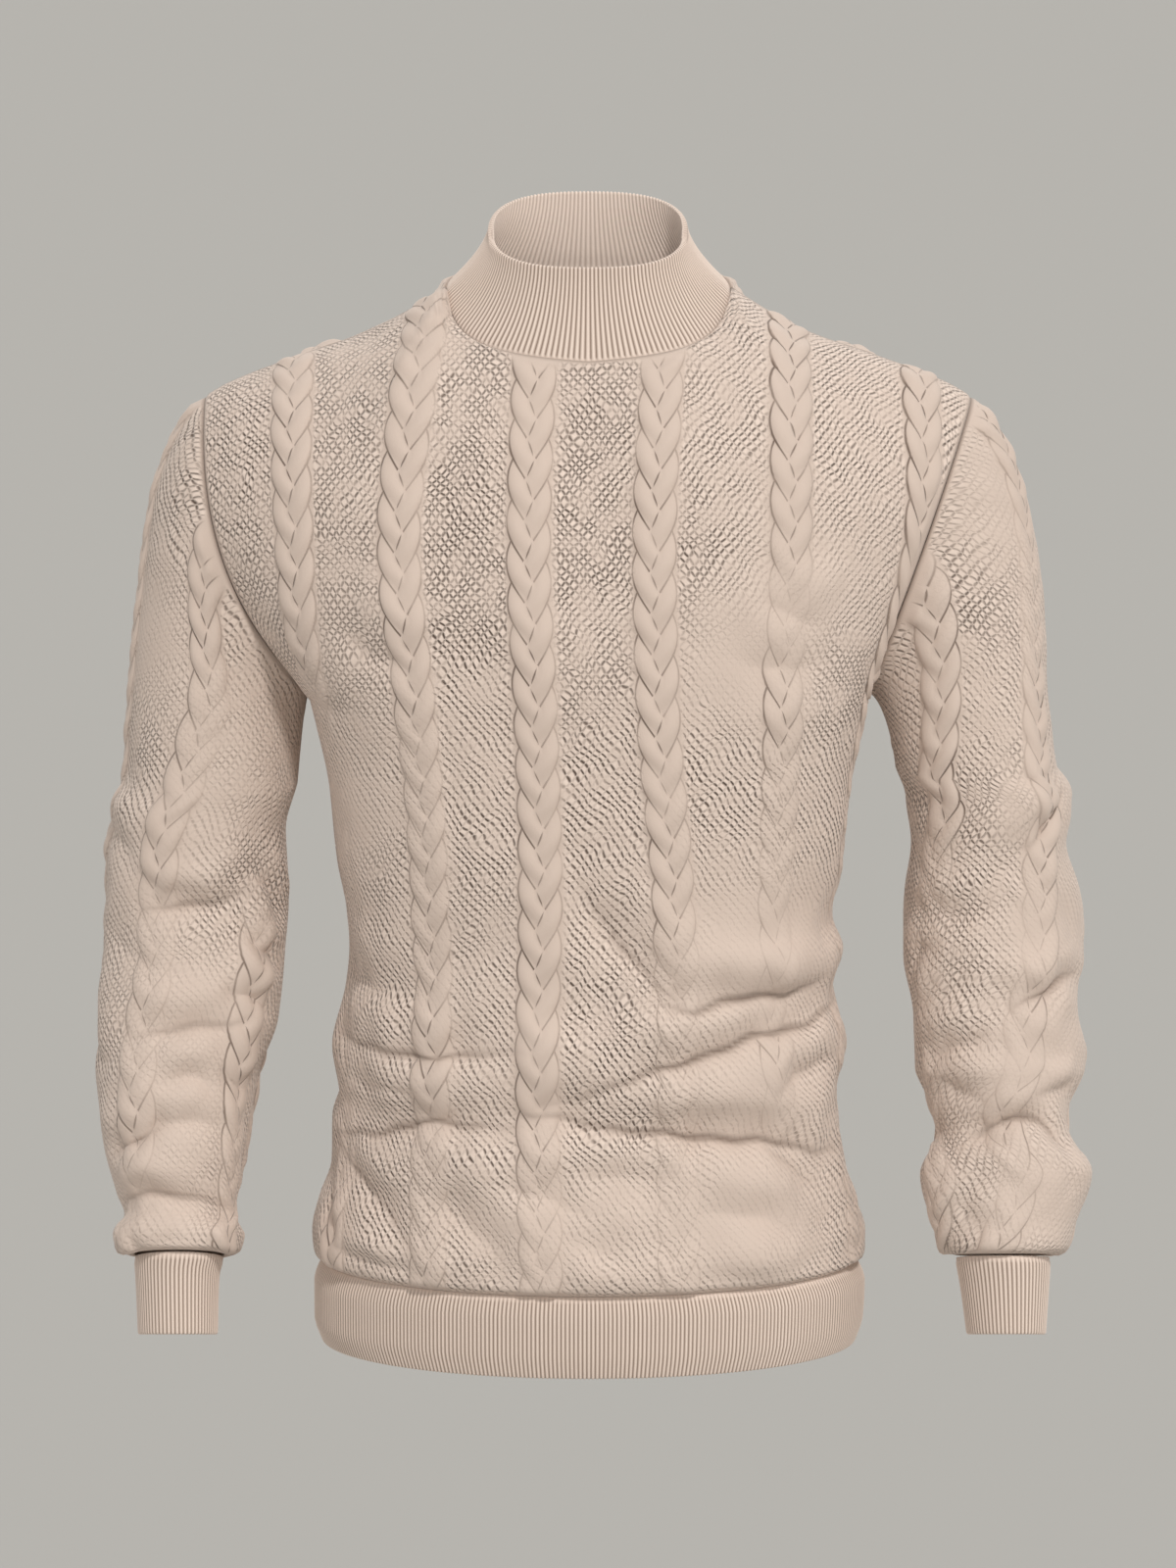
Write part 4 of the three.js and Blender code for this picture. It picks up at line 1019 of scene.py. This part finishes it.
# Places of the cables round each sleeve, at heights above the cuff seam, out from the outside of the
# arm: to the front of it above 0, behind it below.
SLEEVE_RIGHT_CABLES = table(
    "up a b c d",
    (20, -140, -58, 24, 100),
    (90, -140, -40, 54, 124),
    (200, -136, -20, 66, 132),
    (300, -120, -6, 70, 146),
    (420, -106, 4, 91, 160),
    (520, -100, 2, 86, 164),
)
SLEEVE_LEFT_CABLES = table(
    "up a b c d",
    (25, -112, -22, 74, 124),
    (120, -120, -18, 71, 136),
    (220, -130, -26, 63, 131),
    (310, -134, -44, 45, 117),
    (420, -138, -54, 35, 104),
    (530, -120, -52, 18, 96),
)
SLEEVE_LEFT_FLAT = [
    (272, -120, 52, 0.85), (282, -322, 38, 0.75), (286, -396, 42, 0.85), (284, -466, 42, 0.88),
    (250, -492, 32, 0.65), (280, -560, 38, 0.85), (244, -250, 46, 0.35),
]
SLEEVE_RIGHT_FLAT = [
    (-240, -330, 34, 0.6), (-268, -372, 30, 0.7), (-238, -440, 40, 0.8), (-246, -500, 40, 0.85),
    (-262, -560, 36, 0.8), (-290, -540, 26, 0.6), (-286, -210, 52, 0.75), (-212, -270, 52, 0.4),
]
SLEEVE_LEFT_PLAIN = [
    (290, -180, 60, 0.5), (285, -400, 40, 0.55), (282, -480, 36, 0.65), (240, -540, 34, 0.5),
    (280, -560, 32, 0.65), (210, -396, 56, 0.75), (222, -470, 40, 0.65),
]
SLEEVE_RIGHT_PLAIN = [
    (-196, -280, 50, 0.95), (-198, -350, 44, 0.9), (-270, -400, 40, 0.5), (-262, -470, 36, 0.5),
    (-270, -560, 36, 0.7), (-215, -540, 34, 0.4),
]
sleeve_left = sleeve(
    "sweatshirt_sleeve_left", SLEEVE_LEFT, 1, SLEEVE_LEFT_CABLES, SLEEVE_LEFT_CREASES,
    SLEEVE_LEFT_FLAT, SLEEVE_LEFT_PLAIN, 37,
)
sleeve_right = sleeve(
    "sweatshirt_sleeve_right", SLEEVE_RIGHT, -1, SLEEVE_RIGHT_CABLES, SLEEVE_RIGHT_CREASES,
    SLEEVE_RIGHT_FLAT, SLEEVE_RIGHT_PLAIN, 41,
)
for piece, node in ((sleeve_left, "sleeve_left"), (sleeve_right, "sleeve_right")):
    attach(piece, "root")
    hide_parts(node)

# ---- Collar ---------------------------------------------------------------------------------------
# A high band of fine one-by-one rib, knitted as a strip, folded double at its rim and sewn round the
# neck. Its ribs stand upright and close up towards the rim.
RIB_WALL = 3
NECK_RIM = {"x": 61.5, "y": 0, "reach": 62, "z": 35.5, "rise": 19.5}
COLLAR_FLARE = 1.75
COLLAR_HEIGHT = 60
COLLAR_TUCK = (2.5, 0.9)
NECK_WALL = (0.75, 0.65)  # inwards and down through the wall at the neck seam
POINTS_A_RIB = 6
COLLAR_RIBS = 164
BAND_ROW = 4
COLLAR_ROWS = 26
COLLAR_GROOVE = 0.75  # depth of the grooves
RING_SAMPLES = 2881
RIB_ROUNDNESS = 0.6  # the lower, the wider the ribs and the sharper the grooves
FOLD_TURNS = (22, 45, 68, 90, 112, 135, 158)


def rib_tree():
    """Presses upright grooves between ribs into a smooth band, and marks how deep each point lies."""
    tree = bpy.data.node_groups.new("rib_knit", "GeometryNodeTree")
    inputs = {"Geometry": "Geometry", "Ribs": "Float", "Groove depth": "Float", "Material": "Material"}
    for name, kind in inputs.items():
        tree.interface.new_socket(name, in_out="INPUT", socket_type="NodeSocket" + kind)
    tree.interface.new_socket("Geometry", in_out="OUTPUT", socket_type="NodeSocketGeometry")
    begin = tree.nodes.new("NodeGroupInput")
    store = tree.nodes.new("GeometryNodeStoreNamedAttribute")
    press = tree.nodes.new("GeometryNodeSetPosition")
    realize = tree.nodes.new("GeometryNodeRealizeInstances")
    dress = tree.nodes.new("GeometryNodeSetMaterial")
    end = tree.nodes.new("NodeGroupOutput")
    chain = (begin, store, press, realize, dress, end)
    for before, after in zip(chain, chain[1:]):
        tree.links.new(before.outputs[0], after.inputs[0])

    def attribute(name):
        node = tree.nodes.new("GeometryNodeInputNamedAttribute")
        node.data_type = "FLOAT"
        return fed(node, {"Name": name}, "Attribute")

    turn = attribute("round") * Wire(begin.outputs["Ribs"]) * (2 * np.pi)
    swing = turn.math("COSINE").math("MULTIPLY_ADD", 0.5, 0.5)
    groove = swing.math("POWER", RIB_ROUNDNESS).math("MULTIPLY_ADD", -1, 1) * attribute("ribbed")
    scaled = tree.nodes.new("ShaderNodeVectorMath")
    scaled.operation = "SCALE"
    normal = Wire(tree.nodes.new("GeometryNodeInputNormal").outputs[0])
    inwards = groove * Wire(begin.outputs["Groove depth"]) * -1
    fed(press, {"Offset": fed(scaled, {0: normal, "Scale": inwards})})
    store.data_type = "FLOAT"
    store.domain = "POINT"
    # The groove depth is kept for the rib material's painted shade.
    fed(store, {"Name": "groove", "Value": groove})
    fed(dress, {"Material": Wire(begin.outputs["Material"])})
    return tree


def rib_material():
    """Oatmeal rib: the wales stand proud, the grooves between them get painted shade, and the inner layer
    of each band is painted lighter.
    """
    material, shader = matt_knit("oatmeal_rib", 0.9, 0.3)
    tree = material.node_tree
    inside = named(tree, "inside")
    warm = blended(speckle(tree, 0.05), (0.82, 0.681, 0.589, 1), (0.86, 0.717, 0.623, 1))
    # Painted light: the inner layer of each band is lighter than the outer one.
    warm = blended(inside, warm, (0.91, 0.768, 0.673, 1))
    # Painted shade in the grooves between the ribs, weaker on the inner layer.
    shade = named(tree, "groove") * ranged(inside, 0, 1, 1, 0.55)
    surfaced(shader, blended(shade, warm, (0.24, 0.168, 0.128, 1)), speckle(tree, 0.0008), 0.5, 0.0004)
    return material


rib = rib_material()
rib_knit = rib_tree()


def even_angles(ring, ribs):
    """Angles round a ring at which equal widths of cloth lie."""
    angles = np.linspace(0, 360, RING_SAMPLES)
    length = running(np.linalg.norm(np.diff(ring(angles), axis=0), axis=-1))
    wanted = np.linspace(0, length[-1], ribs * POINTS_A_RIB + 1)[:-1]
    return np.interp(wanted, length, angles)


def rib_band(name, outer, inner, ribbed, ribs, groove_depth, turned):
    """A ring of doubled rib cloth, from two grids that run from its seam to its fold. The fold is round."""
    middle = (outer[-1] + inner[-1]) / 2
    reach = (outer[-1] - inner[-1]) / 2
    heading = unit(outer[-1] - outer[-2]) + unit(inner[-1] - inner[-2])
    heading = unit(heading) * np.linalg.norm(reach, axis=-1, keepdims=True)
    fold = [middle + reach * np.cos(turn) + heading * np.sin(turn) for turn in np.radians(FOLD_TURNS)]
    loop = np.concatenate([outer, fold, inner[::-1]])
    mark = np.concatenate([ribbed, np.ones(len(fold)), ribbed[::-1]])
    # How far into the inner layer each row lies, by which the rib material paints light.
    within = np.concatenate([0 * ribbed, np.linspace(0, 1, len(fold)), 1 + 0 * ribbed])
    rows, columns = loop.shape[:2]
    ids = np.arange(rows * columns).reshape(rows, columns)
    down, after = np.roll(ids, -1, 0), np.roll(ids, -1, 1)
    across = np.roll(down, -1, 1)
    faces = np.stack([ids, down, across, after], -1).reshape(-1, 4)
    faces = faces if turned else faces[:, ::-1]
    mesh = bpy.data.meshes.new(name)
    mesh.from_pydata((loop.reshape(-1, 3) * MM).tolist(), [], faces.tolist())
    mark_points(mesh, {
        "round": np.broadcast_to(np.arange(columns) / columns, (rows, columns)),
        "ribbed": np.broadcast_to(mark[:, None], (rows, columns)),
        "inside": np.broadcast_to(within[:, None], (rows, columns)),
    })
    mesh.shade_smooth()
    smooth = placed(name + "_smooth", mesh)
    modifier = smooth.modifiers.new("ribs", "NODES")
    modifier.node_group = rib_knit
    chosen = {"Ribs": float(ribs), "Groove depth": groove_depth * MM, "Material": rib}
    for socket in rib_knit.interface.items_tree:
        if socket.in_out == "INPUT" and socket.name in chosen:
            modifier[socket.identifier] = chosen[socket.name]
    smooth.update_tag()
    seen = smooth.evaluated_get(bpy.context.evaluated_depsgraph_get())
    knitted = bpy.data.meshes.new_from_object(seen)
    knitted.name = name
    bpy.data.objects.remove(smooth)
    return placed(name, knitted)


def ring_outward(outer, outside):
    """Directions out of a ring of points. Outside points out at each point of its middle row."""
    closed = np.concatenate([outer, outer[:, :1]], axis=1)
    return outward_of(closed, True, np.concatenate([outside, outside[:1]]))[0][:, :-1]


def collar_row(angle, height):
    """Points of the collar, from its seam at height 0 to its rim at height 1."""
    turn = np.radians(angle)
    seam = neck_point(angle)
    forward = bowed(np.sin(turn), NECK_POWER)
    rim_x = NECK_RIM["x"] * bowed(np.cos(turn), NECK_POWER)
    rim_y = NECK_RIM["y"] - NECK_RIM["reach"] * forward
    rim = np.stack([rim_x, rim_y, NECK_RIM["z"] - NECK_RIM["rise"] * forward], -1)
    drawn_in = 1 - (1 - height) ** COLLAR_FLARE
    return mix(seam, rim, np.array([drawn_in, drawn_in, height]))


angles = even_angles(lambda a: collar_row(a, 0.5), COLLAR_RIBS)
heights = np.linspace(0, 1, COLLAR_ROWS)
outer = np.array([collar_row(angles, height) for height in heights])
outside = np.stack([np.cos(np.radians(angles)), -np.sin(np.radians(angles)), 0 * angles], -1)
outward = ring_outward(outer, outside)
inwards, down = NECK_WALL
seam_inward = unit(np.concatenate([-inwards * outside[:, :2], np.full((len(angles), 1), -down)], axis=1))
share = smooth_step(heights, 0, 0.3)[:, None, None]
inward = unit(mix(seam_inward[None], -outward, share))
inner = outer + inward * RIB_WALL
outer = outer - outward * bell(heights * COLLAR_HEIGHT, *COLLAR_TUCK)[:, None, None]
up_seam = unit(np.cross(seam_inward, np.roll(outer[0], -1, 0) - np.roll(outer[0], 1, 0)))
outer[0] += up_seam * SEAM_GAP / 2
inner[0] += up_seam * SEAM_GAP / 2
rim_room = RIB_WALL / 2
outer[-1, :, 2] -= rim_room
inner[-1, :, 2] -= rim_room
ribbed = smooth_step(heights, 0, 0.04)
collar = rib_band("sweatshirt_collar", outer, inner, ribbed, COLLAR_RIBS, COLLAR_GROOVE, True)
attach(collar, "root")
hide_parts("collar")

# ---- Hem band -------------------------------------------------------------------------------------
# The same rib, folded double at the foot and sewn to the body, which is eased on to it and hangs over it.
HEM_RIBS = 352
HEM_BOTTOM = -662
BAND_GROOVE = 0.6
BAND_TUCK = (3, 1.2)
HEM = table(
    "z right left front back",
    (HEM_SEAM, 168, 169, 122, 114),
    (-624, 172, 174, 124, 117),
    (-646, 172, 173, 123, 116),
    (HEM_BOTTOM, 167, 168, 120, 113),
)


def hem_row(angle, z):
    turn = np.radians(angle)
    half = np.where(np.cos(turn) >= 0, along(HEM, "left", z), along(HEM, "right", z))
    reach = np.where(np.sin(turn) >= 0, along(HEM, "front", z), along(HEM, "back", z))
    return np.stack([half * np.cos(turn), -reach * np.sin(turn), z + 0 * turn], -1)


def straight_band(name, row, top, bottom, ribs, turned):
    """A band between a seam above and a fold below, its wall level."""
    angles = even_angles(lambda a: row(a, (top + bottom) / 2), ribs)
    levels = np.linspace(top - SEAM_GAP / 2, bottom + RIB_WALL / 2, round((top - bottom) / BAND_ROW))
    outer = np.array([row(angles, level) for level in levels])
    centre = outer.mean(axis=1, keepdims=True)
    outward = ring_outward(outer, (outer - centre)[len(outer) // 2])
    outward[..., 2] = 0
    outward = unit(outward)
    inner = outer - outward * RIB_WALL
    tuck = bell(top - levels, *BAND_TUCK)[:, None, None]
    ribbed = smooth_step(top - levels, 0.2, 1.5)
    return rib_band(name, outer - outward * tuck, inner, ribbed, ribs, BAND_GROOVE, turned)


hem_band = straight_band("sweatshirt_hem_band", hem_row, HEM_SEAM, HEM_BOTTOM, HEM_RIBS, False)
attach(hem_band, "root")
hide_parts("hem_band")

# ---- Cuffs ----------------------------------------------------------------------------------------
# The same rib again, in two short tubes that draw the sleeves in at the wrist, folded double at the hand.
CUFF_RIBS = 70
CUFF_BOTTOM = -648
CUFF_RIGHT = table(
    "z x half y deep slope",
    (CUFF_SEAM, 254.2, 28.5, -44, 35, 0.3),
    (-612, 255.4, 26.2, -46, 33, 0.27),
    (CUFF_BOTTOM, 254.9, 24.8, -54, 31, 0.21),
)
CUFF_LEFT = table(
    "z x half y deep slope",
    (CUFF_SEAM, 258, 30, -44, 36, 0.23),
    (-616, 259, 28, -47, 34, 0.22),
    (CUFF_BOTTOM, 260, 24.6, -54, 31, 0.21),
)
for name, rows, side in (("cuff_left", CUFF_LEFT, 1), ("cuff_right", CUFF_RIGHT, -1)):
    cuff = straight_band(
        "sweatshirt_" + name,
        lambda a, z: arm_point(rows, a, z + 0 * a, side),
        CUFF_SEAM, CUFF_BOTTOM, CUFF_RIBS, side < 0,
    )
    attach(cuff, "root")
    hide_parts(name)
